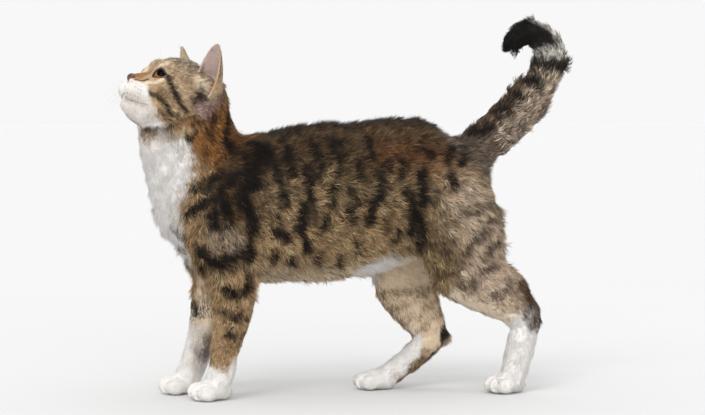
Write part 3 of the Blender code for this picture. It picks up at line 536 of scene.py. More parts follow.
TRUNK_MARKS = (
    streak(6.5, (-108, -29, 253), (-102, -35, 251), (-100, -42, 242), (-101, -46, 232), (-107, -50, 225),
           (-109, -52, 210)),
    streak(5.5, (-109, -53, 212), (-119, -54, 207), (-120, -55, 195), (-114, -54, 188), (-111, -54, 176)),
    streak(5.0, (-108, -54, 176), (-112, -51, 157), (-111, -48, 141)),
    streak(3.4, (-116, -41, 242), (-115, -49, 228), (-120, -53, 214)),
    streak(4.5, (-92, -37, 249), (-88, -44, 232), (-83, -52, 215), (-80, -56, 201), (-78, -57, 192)),
    streak(3.6, (-74, -35, 247), (-73, -44, 235), (-68, -52, 220)),
    streak(3.4, (-76, -24, 256), (-74, -37, 245)),
    streak(4.5, (-56, -51, 225), (-54, -56, 212), (-57, -58, 196), (-61, -58, 177), (-64, -55, 163)),
    streak(3.9, (-50, -34, 254), (-46, -42, 244), (-43, -51, 228), (-45, -54, 220)),
    streak(3.6, (-31, -40, 248), (-21, -47, 239), (-24, -51, 231), (-24, -55, 219)),
    streak(3.4, (-32, -57, 213), (-31, -59, 198), (-35, -60, 192)),
    streak(3.6, (-38, -59, 176), (-40, -57, 165)),
    streak(3.9, (-5, -51, 232), (-5, -57, 217)),
    streak(3.4, (-11, -59, 205), (-9, -60, 194)),
    streak(3.4, (-15, -60, 186), (-14, -60, 175)),
    streak(3.6, (-6, -53, 152), (-6, -47, 142)),
    streak(3.9, (9, -37, 253), (9, -50, 236)),
    streak(4.8, (16, -56, 222), (18, -59, 209), (12, -60, 198), (6, -61, 187), (5, -59, 173)),
    streak(3.6, (39, -52, 232), (39, -56, 219)),
    streak(3.4, (24, -52, 233), (26, -55, 225)),
    streak(5.3, (40, -59, 204), (49, -58, 191), (51, -55, 175), (47, -51, 161)),
    streak(4.8, (57, -54, 223), (58, -56, 208), (59, -57, 193)),
    streak(4.4, (56, -55, 180), (60, -52, 160), (59, -46, 144)),
    streak(3.4, (34, -51, 156), (37, -53, 161)),
    streak(3.6, (-86, -57, 179), (-84, -54, 160)),
    streak(3.9, (-77, -55, 162), (-76, -53, 156)),
    streak(4.2, (-59, -54, 156), (-54, -49, 145)),
    streak(3.9, (-71, -45, 139), (-68, -40, 133)),
    streak(3.9, (-45, -46, 140), (-40, -37, 130)),
    streak(3.9, (-21, -45, 138), (-21, -36, 129)),
    streak(3.9, (-88, -48, 145), (-88, -43, 136)),
    streak(4.4, (-125, -52, 220), (-138, -48, 222), (-151, -47, 213), (-162, -42, 207)),
    streak(4.4, (-132, -53, 214), (-146, -54, 201), (-157, -52, 195), (-174, -43, 181)),
    streak(3.8, (-138, -56, 195), (-149, -57, 181)),
    streak(4.2, (-147, -57, 178), (-144, -57, 186), (-137, -57, 191), (-136, -57, 177)),
    streak(4.2, (-149, -57, 177), (-149, -57, 170), (-140, -57, 167), (-133, -56, 174)),
    streak(3.4, (-182, -25, 166), (-176, -27, 160), (-170, -49, 157), tone=Tone.UMBER, strength=0.6),
    streak(5.9, (-162, -51, 148), (-154, -53, 140), (-142, -53, 133), (-136, -53, 131)),
    streak(3.9, (-158, -48, 132), (-159, -44, 126)),
    streak(4.8, (-136, -54, 140), (-123, -52, 146), (-115, -49, 147)),
    streak(4.2, (-116, -50, 135), (-110, -45, 110)),
    Mark(Tone.SMOKE, 11, ((-145, -56, 156), (-128, -54, 158)), 0.5, 0.6),
    streak(3.0, (-127, -16, 278), (-127, -22, 270), (-131, -27, 265), (-132, -29, 259), (-130, -30, 252)),
    streak(2.6, (-140, -7, 292), (-128, -7, 277), (-112, -8, 266), strength=0.8),
    streak(5.0, (-129, -29, 250), (-124, -33, 244)),
    streak(2.8, (-143, -34, 278), (-148, -36, 268), (-147, -36, 262), (-145, -36, 256)),
    streak(3.0, (-158, -39, 272), (-164, -40, 264), (-170, -39, 254)),
    streak(2.4, (-156, -39, 250), (-152, -40, 240), strength=0.5),
    streak(2.4, (-140, -36, 248), (-140, -40, 238), strength=0.5),
    streak(4.5, (-32, -30, 258), (-26, -36, 250)),
    streak(4.0, (60, -44, 246), (70, -46, 240)),
    streak(3.6, (72, -58, 206), (70, -60, 192), strength=0.7),
    streak(3.4, (-92, -57, 214), (-94, -57, 202), strength=0.7),
    streak(3.4, (-97, -50, 236), (-92, -54, 224), strength=0.7),
    streak(3.4, (20, -56, 176), (22, -54, 164), strength=0.8),
    streak(3.4, (-50, -56, 186), (-48, -57, 174), strength=0.7),
    Mark(Tone.TAN, 6.5, ((-212, -12, 257), (-199, -31, 258), (-186, -37, 260), (-173, -40, 264)), 0.4, 1.0),
    Mark(Tone.MAUVE, 9, ((-154, -43, 284), (-146, -42, 289), (-139, -33, 296)), 0.4, 0.95),
    # A dark line along the crease under the jaw: partly the tabby's necklace, partly painted shade in the
    # crease.
    streak(2.4, (-212, -12, 265), (-206, -26, 264), (-194, -34, 266), (-180, -39, 269), tone=Tone.SADDLE),
)

HAUNCH_MARKS = (
    streak(4.5, (93, -36, 247), (87, -46, 236), (87, -55, 223), (91, -61, 209)),
    streak(3.6, (109, -23, 246), (100, -48, 230)),
    streak(3.9, (92, -66, 177), (102, -65, 183), (115, -62, 187), (131, -51, 192), strength=0.7),
    streak(3.9, (117, -63, 166), (125, -60, 172), (135, -54, 174), strength=0.7),
    streak(4.2, (100, -64, 140), (105, -65, 149), (113, -65, 156), (125, -61, 162), strength=0.75),
    streak(3.9, (123, -60, 139), (128, -59, 146), (138, -54, 152), strength=0.7),
    streak(3.6, (76, -56, 123), (86, -60, 123), (96, -61, 125), (98, -62, 133), strength=0.7),
    streak(4.6, (108, -58, 109), (114, -59, 117), (121, -58, 124), strength=0.75),
    streak(3.4, (126, -57, 126), (138, -54, 130), strength=0.6),
    streak(4.0, (131, -53, 95), (138, -55, 101), strength=0.75),
    streak(3.4, (144, -54, 106), (150, -52, 113), strength=0.6),
    streak(3.4, (96, -60, 116), (100, -58, 108), strength=0.6),
    streak(5.5, (168, -42, 100), (176, -45, 90), (180, -42, 80), strength=0.8),
    streak(3.4, (66, -56, 151), (70, -57, 140), strength=0.7),
    streak(3.6, (83, -64, 154), (82, -63, 147), strength=0.7),
)

LEG_MARKS = (
    Mark(Tone.CREAM, 8, ((94, -50, 100), (110, -48, 90), (130, -46, 79), (150, -40, 68)), 0.7, 0.95, False),
    Mark(Tone.WHITE, 22, HIND_LEFT[4:], 0.3, 1, False),
    Mark(Tone.UMBER, 12, ((166, -44, 104), (176, -42, 88), (181, -38, 72)), 0.5, 0.85, False),
    Mark(Tone.INK, 4, ((181, -36, 88), (183, -35, 74)), 0.6, 0.8, False),
    Mark(Tone.WHITE, 13, ((66, 18, 48), (58, 16, 36), (44, 14, 22), (26, 20, 12), (12, 20, 8)), 0.35, 1,
         False),
    Mark(Tone.WHITE, 10, ((52, 30, 30), (30, 30, 14)), 0.4, 1, False),
    Mark(Tone.UMBER, 4, ((103, 28, 60), (99, 28, 46), (86, 27, 30), (70, 24, 14), (60, 22, 7)), 0.5, 0.9,
         False),
    Mark(Tone.INK, 5, ((101, 27, 62), (103, 26, 54), (100, 25, 48)), 0.5, 0.9, False),
    Band(Tone.CHESTNUT, 3.0, (60, 38, 98), (0.15, 0, -1), 30, strength=0.5),
    Band(Tone.CHESTNUT, 3.0, (66, 37, 88), (0.5, 0, -1), 30, strength=0.5),
    Band(Tone.CHESTNUT, 3.0, (74, 36, 76), (0.7, 0, -1), 30, strength=0.5),
    Band(Tone.CHESTNUT, 3.0, (84, 33, 65), (0.8, 0, -1), 30, strength=0.5),
    streak(4.2, (-138, -46, 108), (-124, -48, 104), (-116, -46, 108)),
    Band(Tone.UMBER, 3, (-127, -22, 82), (0, 0, 1), 18, strength=0.6),
    streak(3.8, (-140, -41, 89), (-128, -44, 83), (-114, -38, 80)),
    streak(3.2, (-137, -40, 68), (-128, -42, 61), (-114, -36, 66)),
    Band(Tone.STRIPE, 8.5, (-140, 31, 85), (0.1, 0, 1), 34, 0.25),
    Band(Tone.CHESTNUT, 3, (-134, 33, 104), (0, 0, 1), strength=0.5),
    Mark(Tone.WHITE, 18, ((-142, -30, 14), (-152, -26, 12), (-168, -26, 8)), 0.25, 1, False),
    Mark(Tone.WHITE, 10, ((-118, -32, 36), (-130, -32, 16)), 0.3, 1, False),
    Mark(Tone.WHITE, 26, ((-152, 28, 44), (-164, 28, 22), (-180, 28, 10)), 0.25, 1, False),
    # Painted shade on the inner side of the far (right) foreleg, low down.
    Mark(Tone.SMOKE, 13, ((-150, 10, 48), (-157, 12, 28)), 0.6, 0.4, False),
    Mark(Tone.UMBER, 7, ((-140, 20, 56), (-148, 20, 38)), 0.6, 0.75, False),
    Mark(Tone.CHESTNUT, 3.2, ((-138, -40, 52),), 0.5, 0.9, False),
    Mark(Tone.ORANGE, 3.2, ((152, -45, 62),), 0.5, 0.7, False),
)

# Each paw: the middle of its print, and how far its toes turn from straight ahead. Then the lines between
# its toes.
PAWS = (((-147, -26), 12), ((-169, 28), 0), ((151, -32), 14), ((29, 22), -4))
CLEFTS = (
    ((-25, 0, 3), (-25, 0, 9), (-20, 0, 15), (-12, 0, 18)),
    ((-20, -9.8, 3), (-20, -9.8, 9), (-14, -9.8, 14), (-8, -9.8, 16)),
    ((-20, 9.8, 3), (-20, 9.8, 9), (-14, 9.8, 14), (-8, 9.8, 16)),
)


def on_paw(point: Point, middle: tuple[float, float], turn: float) -> Point:
    """Take a point from a paw's own axes to the cat's frame."""
    turned = np.array(Matrix.Rotation(math.radians(turn), 3, "Z")) @ np.array(point)
    return tuple(turned + np.array((*middle, 0)))


TOE_MARKS = tuple(
    Mark(Tone.TAUPE, 0.9, tuple(on_paw(point, middle, turn) for point in line), 0.7, 0.45, False)
    for middle, turn in PAWS
    for line in CLEFTS
)

# Each paw is white over its toes.
PAW_MARKS = tuple(Mark(Tone.WHITE, 26, ((x - 14, y, 8), (x - 8, y, 8)), 0.2, 1, False) for (x, y), _ in PAWS)

TAIL_MARKS = (
    Mark(Tone.SMOKE, 15, ((160, -14, 258), (176, -16, 276), (192, -15, 296), (202, -13, 314)), 0.8, 0.85),
    Mark(Tone.SADDLE, 12, ((108, 0, 252), (128, 0, 266), (152, 0, 286), (174, 0, 308)), 0.7, 0.85, False),
    Mark(Tone.STRIPE, 8, ((124, -9, 260), (134, -11, 262)), 0.5, 1.0),
    Mark(Tone.STRIPE, 7.5, ((150, -8, 281), (158, -12, 281)), 0.5, 1.0),
    Mark(Tone.STRIPE, 6.5, ((166, -8, 296), (172, -12, 295)), 0.5, 1.0),
    Mark(Tone.STRIPE, 7, ((182, -8, 313), (189, -11, 311)), 0.5, 1.0),
    Mark(Tone.SMOKE, 6, ((196, -13, 322), (206, -11, 318)), 0.6, 0.8),
    Band(Tone.INK, 7.5, (202, 0, 329), (0.3, 0, 1), 30, strength=0.95),
    Band(Tone.ASH, 7, (204, -1, 344), (-0.2, 0, 1), 26, strength=0.95),
    Mark(Tone.INK, 5, ((186, -8, 346), (192, -11, 338)), 0.7, 0.85),
    Mark(Tone.INK, 9, ((206, -12, 353), (196, -14, 359), (184, -14, 361)), 0.4, 0.97),
    Mark(Tone.ASH, 8, ((213, -9, 358), (207, -8, 368), (195, -8, 375), (182, -8, 376)), 0.5, 0.92),
    Mark(Tone.INK, 24, ((169, -5, 358), (162, -5, 351), (155, -5, 342)), 0.2, 1, False),
)

FACE_MARKS = (
    Mark(Tone.FACE, 62, ((-30, 0, 0), (10, 0, 0)), 0.2, 1, False, Space.HEAD),
    face(Tone.SMOKE, 20, (-12, -8, 34), (12, -10, 34), strength=0.95),
    face(Tone.ORANGE, 12, (-18, -32, -16), (2, -36, -22), soft=0.6, strength=0.2),
    face(Tone.CHESTNUT, 6, (-10, -33, -31), (4, -34, -29), soft=0.7, strength=0.4),
    face(Tone.UMBER, 4, (-24, -30, -12), (-16, -35, -14), soft=0.8, strength=0.45),
    face(Tone.UMBER, 6, (-8, -30, 14), (4, -30, 8), soft=0.8, strength=0.25),
    face(Tone.CREAM, 6.5, (4.4, -33, 19.3), (9.4, -37.5, 13.2), soft=0.6, strength=0.4),
    face(Tone.CREAM, 2.6, (-38, -7, -2), (-33, -13, 8), (-29.4, -20.7, 15.3), strength=0.65),
    face(Tone.CREAM, 2.0, (-37, -21, -9.2), (-32, -26, -6.5), (-24, -30, 0), strength=0.75),
    face(Tone.STRIPE, 1.6, (-30, -5, 17), (-20, -6, 27), (-6, -8, 34), strength=0.7),
    face(Tone.STRIPE, 1.6, (-27, -15, 18), (-14, -17, 29), (2, -18, 33), strength=0.7),
    face(Tone.CREAM, 1.4, (-30, -10, 16), (-18, -11, 28), strength=0.5),
    face(Tone.STRIPE, 2.9, (-21.8, -29, 4), (-13.8, -37.4, -5.8), (-3.2, -39.9, -14.1), (8.7, -37, -18),
         soft=0.7, strength=0.95),
    face(Tone.STRIPE, 2.7, (-33.9, -23.5, -18), (-24, -32.3, -17.2), (-15.3, -36.4, -21), (-2.6, -35.2, -27),
         soft=0.7, strength=0.95),
    face(Tone.STRIPE, 1.6, (-4, -37, -24), (8, -36, -25), soft=0.7, strength=0.7),
    face(Tone.UMBER, 3.4, (-10, -28, -37), (4, -34, -33), soft=0.7, strength=0.9),
    face(Tone.UMBER, 1.2, (-20, -24, -34), (-14, -30, -28), soft=0.7, strength=0.6),
    face(Tone.UMBER, 1.2, (-15, -23, -39), (-9, -30, -31), soft=0.7, strength=0.6),
    face(Tone.ORANGE, 6.5, (-49, -2, -6), (-42.8, -5, -2), (-38, -5, 2), strength=0.95),
    face(Tone.TAN, 4.5, (-36, -1, 5), (-31, -1, 12), soft=0.6, strength=0.6),
    face(Tone.UMBER, 1.2, (-40.9, -14.1, -9.2), (-36.5, -19.5, -5.5), strength=0.9),
    face(Tone.CHESTNUT, 1.3, (-46, -8, -10.5), (-40.9, -14.1, -9.2), strength=0.7),
    face(Tone.WHITE, 9, (-49, -5, -21), (-44, -13, -21), (-38, -18, -20), soft=0.3),
    face(Tone.WHITE, 11, (-46, -4, -34), (-36, -9, -38), (-22, -13, -41), (-4, -14, -44), soft=0.3),
    face(Tone.WHITE, 7, (-32, -21, -27), (-22, -24, -34), strength=0.9),
    face(Tone.SMOKE, 6.0, (-22, -22, -38), (-8, -22, -42), soft=0.8, strength=0.45),
    face(Tone.SMOKE, 6.0, (-42, -12, -24), (-36, -17, -26), soft=0.9, strength=0.3),
    face(Tone.SMOKE, 12.0, (-40, -5, -36), (-26, -12, -40), soft=0.8, strength=0.3),
    face(Tone.STRIPE, 1.5, (-2, -7, 38), (14, -8, 39), (29, -9, 33), (38, -9, 22), strength=0.75),
    face(Tone.STRIPE, 1.5, (4, -18, 35), (18, -19, 36), (31, -20, 29), (38, -20, 18), strength=0.75),
    face(Tone.STRIPE, 1.3, (10, -29, 30), (24, -30, 27), (34, -30, 18), strength=0.6),
    face(Tone.SMOKE, 3.0, (-46, -3, -30), (-42, -10, -33), (-35, -15, -32), soft=0.8, strength=0.45),
    face(Tone.STRIPE, 6.5, (9.5, -42, 3), (15, -43.4, -1.3), (9.5, -42.2, -5), soft=0.6, strength=0.92),
    face(Tone.CREAM, 4.5, (13.4, -37.8, 14.4), (15.2, -36.2, 18.8), strength=0.95),
    face(Tone.MAUVE, 7, (18.5, -43, -6), strength=0.9),
    face(Tone.STRIPE, 4, (-2, -14, 38), (16, -16, 40), strength=0.5),
    face(Tone.STRIPE, 1.3, (-24, -22, 17), (-12, -24, 26), (0, -24, 30), strength=0.5),
)

# The rows of whiskers on the lip: each root in the head's axes, with its row and its place in the row.
WHISKER_ROOTS = tuple(
    ((-47.0 + 2.9 * place + 0.6 * row, -9.5 - 2.9 * place, height), row, place)
    for row, height in enumerate((-15.0, -18.5, -22.0, -25.5))
    for place in range(4)
)
FOLLICLES = tuple(
    face(Tone.UMBER, 0.7, (x, y - 3.0, z), (x, y + 3.0, z), strength=0.4) for (x, y, z), _, _ in WHISKER_ROOTS
)

EAR_MARKS = (
    face(Tone.TAN, 3.2, (16, -52, 22), (12.8, -52.7, 32.8), (7.7, -53.5, 40.9), (2.9, -54, 46.9)),
    face(Tone.ORANGE, 4.5, (17.3, -38.4, 12), (16.1, -50, 15.9), (17.7, -51.1, 21.3), soft=0.6, strength=0.8),
    face(Tone.CREAM, 4.5, (13.4, -37.8, 14.4), (15.2, -36.2, 18.8), (20.6, -26.2, 25.5), soft=0.6,
         strength=0.8),
)


class Ripple:
    """A smooth uneven field, made of waves in many directions."""

    SPREAD = (0.6, 1.6)
    LEVEL = 0.7

    def __init__(self, seed: int, wave: float, terms: int = 10) -> None:
        """Draw the waves.

        Args:
            seed: the seed of the draw.
            wave: the waves' mean length in millimetres.
            terms: how many waves are added.
        """
        draw = np.random.default_rng(seed)
        ways = unit(draw.normal(size=(terms, 3)))
        self.ways = ways * (math.tau / wave) * draw.uniform(*self.SPREAD, (terms, 1))
        self.starts = draw.uniform(0, math.tau, terms)

    def at(self, points: Array) -> Array:
        """The field at each point, mostly between -1 and 1."""
        waves = np.sin(points @ self.ways.T + self.starts).sum(1)
        return waves * math.sqrt(2 / len(self.ways)) * self.LEVEL


class Markings:
    """The coat's pattern, read at any point near the skin.

    Marks lie over a ground that clouds and flecks make uneven and upright bars of the flank darken. Each edge
    of a smooth step is given as where it starts and where it ends.
    """

    MARKS = GROUNDS + TRUNK_MARKS + HAUNCH_MARKS + LEG_MARKS + PAW_MARKS + TOE_MARKS + TAIL_MARKS
    EDGE = 2.2
    FACE_EDGE = 0.4
    CLOUD = 0.2
    FLECK = 0.24
    BAR = 19.0
    BAR_DARK = 0.68
    BAR_SWAY = 2.4
    BAR_EDGE = (0.0, 0.9)
    BAR_FOOT = (128, 150)
    BAR_FRONT = (-150, -130)
    BAR_LEVEL = 0.75
    BAR_FLECK = 0.5

    def __init__(self) -> None:
        """Draw the waves that make the pattern's edges uneven."""
        self.bends = [Ripple(seed=11 + axis, wave=14) for axis in range(3)]
        self.cloud = Ripple(seed=21, wave=30)
        self.sway = Ripple(seed=23, wave=34)
        self.fleck = Ripple(seed=22, wave=7)

    def colours(self, points: Array, on_head: Array) -> Array:
        """Read the pattern.

        Args:
            points: places in the cat's frame.
            on_head: whether each place is on the head.

        Returns:
            The linear colours.
        """
        bent = points + self.EDGE * np.stack([bend.at(points) for bend in self.bends], axis=1)
        tones = np.tile(np.array(linear(Tone.FLANK.value)), (len(points), 1))
        fleck = self.fleck.at(points)
        tones *= (1 + self.CLOUD * self.cloud.at(points) + self.FLECK * fleck)[:, None]
        wave = np.sin(points[:, 0] * math.tau / self.BAR + self.BAR_SWAY * self.sway.at(points))
        bar = smooth(*self.BAR_EDGE, wave) * smooth(*self.BAR_FOOT, points[:, 2])
        bar *= smooth(*self.BAR_FRONT, points[:, 0])
        tones *= (1 - self.BAR_DARK * bar * np.clip(self.BAR_LEVEL + self.BAR_FLECK * fleck, 0, 1))[:, None]
        for mark in self.MARKS:
            tones = blend(tones, mark, bent, ~on_head)
        settled = points + (bent - points) * self.FACE_EDGE
        for mark in FACE_MARKS + FOLLICLES:
            tones = blend(tones, mark, settled, on_head)
        return np.clip(tones, 0, 1)


def blend(tones: Array, mark: "Mark | Band", points: Array, allowed: Array) -> Array:
    """Lay one mark over the colours so far."""
    share = (mark.share(points) * allowed)[:, None]
    return tones * (1 - share) + share * np.array(linear(mark.tone.value))


def add_node(
    tree: bpy.types.NodeTree, kind: str, settings: dict | None = None, **links: object
) -> bpy.types.Node:
    """Add a shader node with its settings and links.

    Args:
        tree: the material's node tree.
        kind: the node's type.
        settings: properties by name, and input values by the input's name.
        links: the output for each input; a space in the input's name is written as an underscore.

    Returns:
        The node.
    """
    node = tree.nodes.new(kind)
    for name, value in (settings or {}).items():
        if name in node.inputs:
            node.inputs[name].default_value = value
        else:
            setattr(node, name, value)
    for name, output in links.items():
        tree.links.new(output, node.inputs[name.replace("_", " ")])
    return node


def new_material(name: str) -> tuple[bpy.types.Material, bpy.types.NodeTree]:
    """Start a material with an empty tree.

    Args:
        name: the material's name.

    Returns:
        The material and its node tree.
    """
    material = bpy.data.materials.new(name)
    material.use_nodes = True
    tree = material.node_tree
    tree.nodes.clear()
    return material, tree


def close_material(tree: bpy.types.NodeTree, shader: bpy.types.Node) -> None:
    """Join the shader to the material's output."""
    add_node(tree, "ShaderNodeOutputMaterial", Surface=shader.outputs[0])


def mottled(
    tree: bpy.types.NodeTree, colour: bpy.types.NodeSocket, noise: dict, low: float, high: float
) -> tuple[bpy.types.NodeSocket, bpy.types.NodeSocket]:
    """Make a colour uneven by a noise laid in the piece's own place.

    Args:
        tree: the material's node tree.
        colour: the output that gives the colour.
        noise: the noise's settings.
        low: the colour's level where the noise is least.
        high: its level where the noise is most.

    Returns:
        The outputs that give the uneven colour and the noise.
    """
    place = add_node(tree, "ShaderNodeTexCoord")
    grain = add_node(tree, "ShaderNodeTexNoise", noise, Vector=place.outputs["Object"]).outputs["Fac"]
    level = add_node(tree, "ShaderNodeMapRange", {"To Min": low, "To Max": high}, Value=grain)
    toned = add_node(
        tree, "ShaderNodeVectorMath", {"operation": "SCALE"}, Vector=colour, Scale=level.outputs["Result"],
    )
    return toned.outputs["Vector"], grain


@dataclass(frozen=True)
class GuardHair:
    """Crimped wiry guard hair: coarse and springy, so it is only softly glossy and its shade is uneven."""

    name: str = "wiry guard hair"
    roughness: float = 0.62
    specular: float = 0.16
    sheen: float = 0.05
    fleck_mm: float = 1.6

    def material(self) -> bpy.types.Material:
        """Build the finish of the tufts.

        Returns:
            The material.
        """
        material, tree = new_material(self.name)
        tone = add_node(tree, "ShaderNodeAttribute", {"attribute_name": COAT_COLOUR})
        flecks = {"Scale": 1 / (self.fleck_mm * MM), "Detail": 2.0}
        toned, _ = mottled(tree, tone.outputs["Color"], flecks, 0.82, 1.16)
        shader = add_node(
            tree, "ShaderNodeBsdfPrincipled",
            {"Roughness": self.roughness, "Specular IOR Level": self.specular, "Sheen Weight": self.sheen},
            Base_Color=toned,
        )
        close_material(tree, shader)
        return material


@dataclass(frozen=True)
class DownySkin:
    """Skin under close down: soft and matt, with the down's fine streaks standing as a low bump."""

    name: str = "downy skin"
    roughness: float = 0.75
    specular: float = 0.2
    down_mm: float = 0.9
    bump_mm: float = 0.25

    def material(self) -> bpy.types.Material:
        """Build the finish of the skin.

        Returns:
            The material.
        """
        material, tree = new_material(self.name)
        tone = add_node(tree, "ShaderNodeAttribute", {"attribute_name": COAT_COLOUR})
        streaks = {"Scale": 1 / (self.down_mm * MM), "Detail": 3.0, "Roughness": 0.6}
        toned, down = mottled(tree, tone.outputs["Color"], streaks, 0.72, 1.12)
        bump = add_node(
            tree, "ShaderNodeBump", {"Strength": 0.6, "Distance": self.bump_mm * MM}, Height=down,
        )
        shader = add_node(
            tree, "ShaderNodeBsdfPrincipled",
            {"Roughness": self.roughness, "Specular IOR Level": self.specular},
            Base_Color=toned, Normal=bump.outputs["Normal"],
        )
        close_material(tree, shader)
        return material


@dataclass(frozen=True)
class WetEye:
    """A cat's eye: a copper iris of fine spokes round a wide pupil, under the wet clear cornea's gloss.

    Sizes are shares of the eyeball's radius, away from the line of sight.
    """

    name: str = "wet copper eye"
    pupil: float = 0.43
    iris: float = 0.93
    pupil_edge: float = 0.03
    bright_ring: float = 0.12
    dark_ring: float = 0.16
    uneven: float = 0.05
    spokes: float = 9.0
    roughness: float = 0.04
    tear_ior: float = 1.38

    def material(self) -> bpy.types.Material:
        """Build the finish of the eyeball, read from how far each point lies from the line of sight.

        Returns:
            The material.
        """
        material, tree = new_material(self.name)
        sight = add_node(tree, "ShaderNodeAttribute", {"attribute_name": SIGHT})
        away = add_node(
            tree, "ShaderNodeVectorMath", {"operation": "LENGTH"}, Vector=sight.outputs["Vector"],
        )
        spoke = add_node(
            tree, "ShaderNodeVectorMath", {"operation": "NORMALIZE"}, Vector=sight.outputs["Vector"],
        )
        spokes = add_node(
            tree, "ShaderNodeTexNoise", {"Scale": self.spokes, "Detail": 4.0, "Roughness": 0.7},
            Vector=spoke.outputs["Vector"],
        )
        uneven = add_node(
            tree, "ShaderNodeMapRange", {"To Min": -self.uneven, "To Max": self.uneven},
            Value=spokes.outputs["Fac"],
        )
        reach = add_node(tree, "ShaderNodeMath", {"operation": "ADD"})
        tree.links.new(away.outputs["Value"], reach.inputs[0])
        tree.links.new(uneven.outputs["Result"], reach.inputs[1])
        ramp = add_node(tree, "ShaderNodeValToRGB", Fac=reach.outputs["Value"])
        stops = (
            (0.0, Tone.PUPIL), (self.pupil - self.pupil_edge, Tone.PUPIL),
            (self.pupil + self.pupil_edge, Tone.CHESTNUT), (self.pupil + self.bright_ring, Tone.IRIS_PALE),
            (self.iris - self.dark_ring, Tone.IRIS), (self.iris, Tone.RIM),
        )
        for _ in range(len(stops) - 2):
            ramp.color_ramp.elements.new(0.5)
        for element, (position, tone) in zip(ramp.color_ramp.elements, stops):
            element.position = position
            element.color = (*linear(tone.value), 1)
        shader = add_node(
            tree, "ShaderNodeBsdfPrincipled",
            {
                "Roughness": self.roughness, "Specular IOR Level": 0.0, "IOR": self.tear_ior,
                "Coat Weight": 0.12, "Coat Roughness": 0.02, "Coat IOR": self.tear_ior,
            },
            Base_Color=ramp.outputs["Color"],
        )
        close_material(tree, shader)
        return material


@dataclass(frozen=True)
class MoistLeather:
    """Bare moist skin of the nose, lips and lid rims: finely pebbled, so its gloss breaks into points."""

    name: str
    tone: Tone
    edge: Tone
    roughness: float = 0.38
    pebble_mm: float = 0.7
    bump_mm: float = 0.12
    stain_mm: float = 3.5
    stain_edge: tuple[float, float] = (0.35, 0.6)

    def material(self) -> bpy.types.Material:
        """Build the finish of bare skin.

        Returns:
            The material.
        """
        material, tree = new_material(self.name)
        place = add_node(tree, "ShaderNodeTexCoord")
        pebble = add_node(
            tree, "ShaderNodeTexVoronoi", {"Scale": 1 / (self.pebble_mm * MM)},
            Vector=place.outputs["Object"],
        )
        stain = add_node(
            tree, "ShaderNodeTexNoise", {"Scale": 1 / (self.stain_mm * MM), "Detail": 2.0},
            Vector=place.outputs["Object"],
        )
        ramp = add_node(tree, "ShaderNodeValToRGB", Fac=stain.outputs["Fac"])
        stops = zip(self.stain_edge, (self.edge, self.tone))
        for element, (position, tone) in zip(ramp.color_ramp.elements, stops):
            element.position = position
            element.color = (*linear(tone.value), 1)
        bump = add_node(
            tree, "ShaderNodeBump", {"Strength": 0.5, "Distance": self.bump_mm * MM},
            Height=pebble.outputs["Distance"],
        )
        shader = add_node(
            tree, "ShaderNodeBsdfPrincipled",
            {
                "Roughness": self.roughness, "Specular IOR Level": 0.5, "Coat Weight": 0.15,
                "Coat Roughness": 0.25,
            },
            Base_Color=ramp.outputs["Color"], Normal=bump.outputs["Normal"],
        )
        close_material(tree, shader)
        return material


@dataclass(frozen=True)
class WhiskerHorn:
    """A whisker: a stiff smooth hair of clear keratin, pale and a little glossy along its length."""

    name: str = "whisker keratin"
    roughness: float = 0.35
    banding_mm: float = 9.0

    def material(self) -> bpy.types.Material:
        """Build the finish of the whiskers.

        Returns:
            The material.
        """
        material, tree = new_material(self.name)
        place = add_node(tree, "ShaderNodeTexCoord")
        bands = add_node(
            tree, "ShaderNodeTexNoise", {"Scale": 1 / (self.banding_mm * MM)},
            Vector=place.outputs["Object"],
        )
        ramp = add_node(tree, "ShaderNodeValToRGB", Fac=bands.outputs["Fac"])
        for element, tone in zip(ramp.color_ramp.elements, (Tone.ASH, Tone.WHITE)):
            element.color = (*linear(tone.value), 1)
        shader = add_node(
            tree, "ShaderNodeBsdfPrincipled", {"Roughness": self.roughness, "Specular IOR Level": 0.5},
            Base_Color=ramp.outputs["Color"],
        )
        close_material(tree, shader)
        return material


@dataclass(frozen=True)
class StudioPaper:
    """Matt seamless background paper: pale, even and without gloss, with only a faint unevenness."""

    name: str = "matt background paper"
    tone: str = "#DCDCDC"
    roughness: float = 0.9
    mottle_mm: float = 1000 / 3

    def material(self) -> bpy.types.Material:
        """Build the finish of the floor.

        Returns:
            The material.
        """
        material, tree = new_material(self.name)
        paper = add_node(tree, "ShaderNodeRGB")
        paper.outputs[0].default_value = (*linear(self.tone), 1)
        mottle = {"Scale": 1 / (self.mottle_mm * MM), "Detail": 2.0}
        toned, _ = mottled(tree, paper.outputs[0], mottle, 0.99, 1.01)
        shader = add_node(
            tree, "ShaderNodeBsdfPrincipled", {"Roughness": self.roughness, "Specular IOR Level": 0.1},
            Base_Color=toned,
        )
        close_material(tree, shader)
        return material


COAT_COLOUR = "coat_colour"
SIGHT = "sight"
BAKE_MAP = "OFBake"


def deselect() -> None:
    """Leave nothing selected."""
    bpy.ops.object.select_all(action="DESELECT")


def choose(obj: bpy.types.Object) -> None:
    """Select one object alone and make it active.

    Args:
        obj: the object.
    """
    deselect()
    obj.select_set(True)
    bpy.context.view_layer.objects.active = obj


def settle(obj: bpy.types.Object) -> None:
    """Put an object at the origin with its place in its mesh."""
    choose(obj)
    bpy.ops.object.transform_apply(location=True, rotation=True, scale=True)


def join(parts: list[bpy.types.Object]) -> bpy.types.Object:
    """Join objects to one.

    Args:
        parts: the objects.

    Returns:
        The first of them, which holds them all.
    """
    choose(parts[0])
    for part in parts:
        part.select_set(True)
    bpy.ops.object.join()
    return parts[0]


def face_outward(obj: bpy.types.Object) -> None:
    """Turn every face of a closed mesh outwards.

    Args:
        obj: the object.
    """
    choose(obj)
    bpy.ops.object.mode_set(mode="EDIT")
    bpy.ops.mesh.select_all(action="SELECT")
    bpy.ops.mesh.normals_make_consistent(inside=False)
    bpy.ops.object.mode_set(mode="OBJECT")


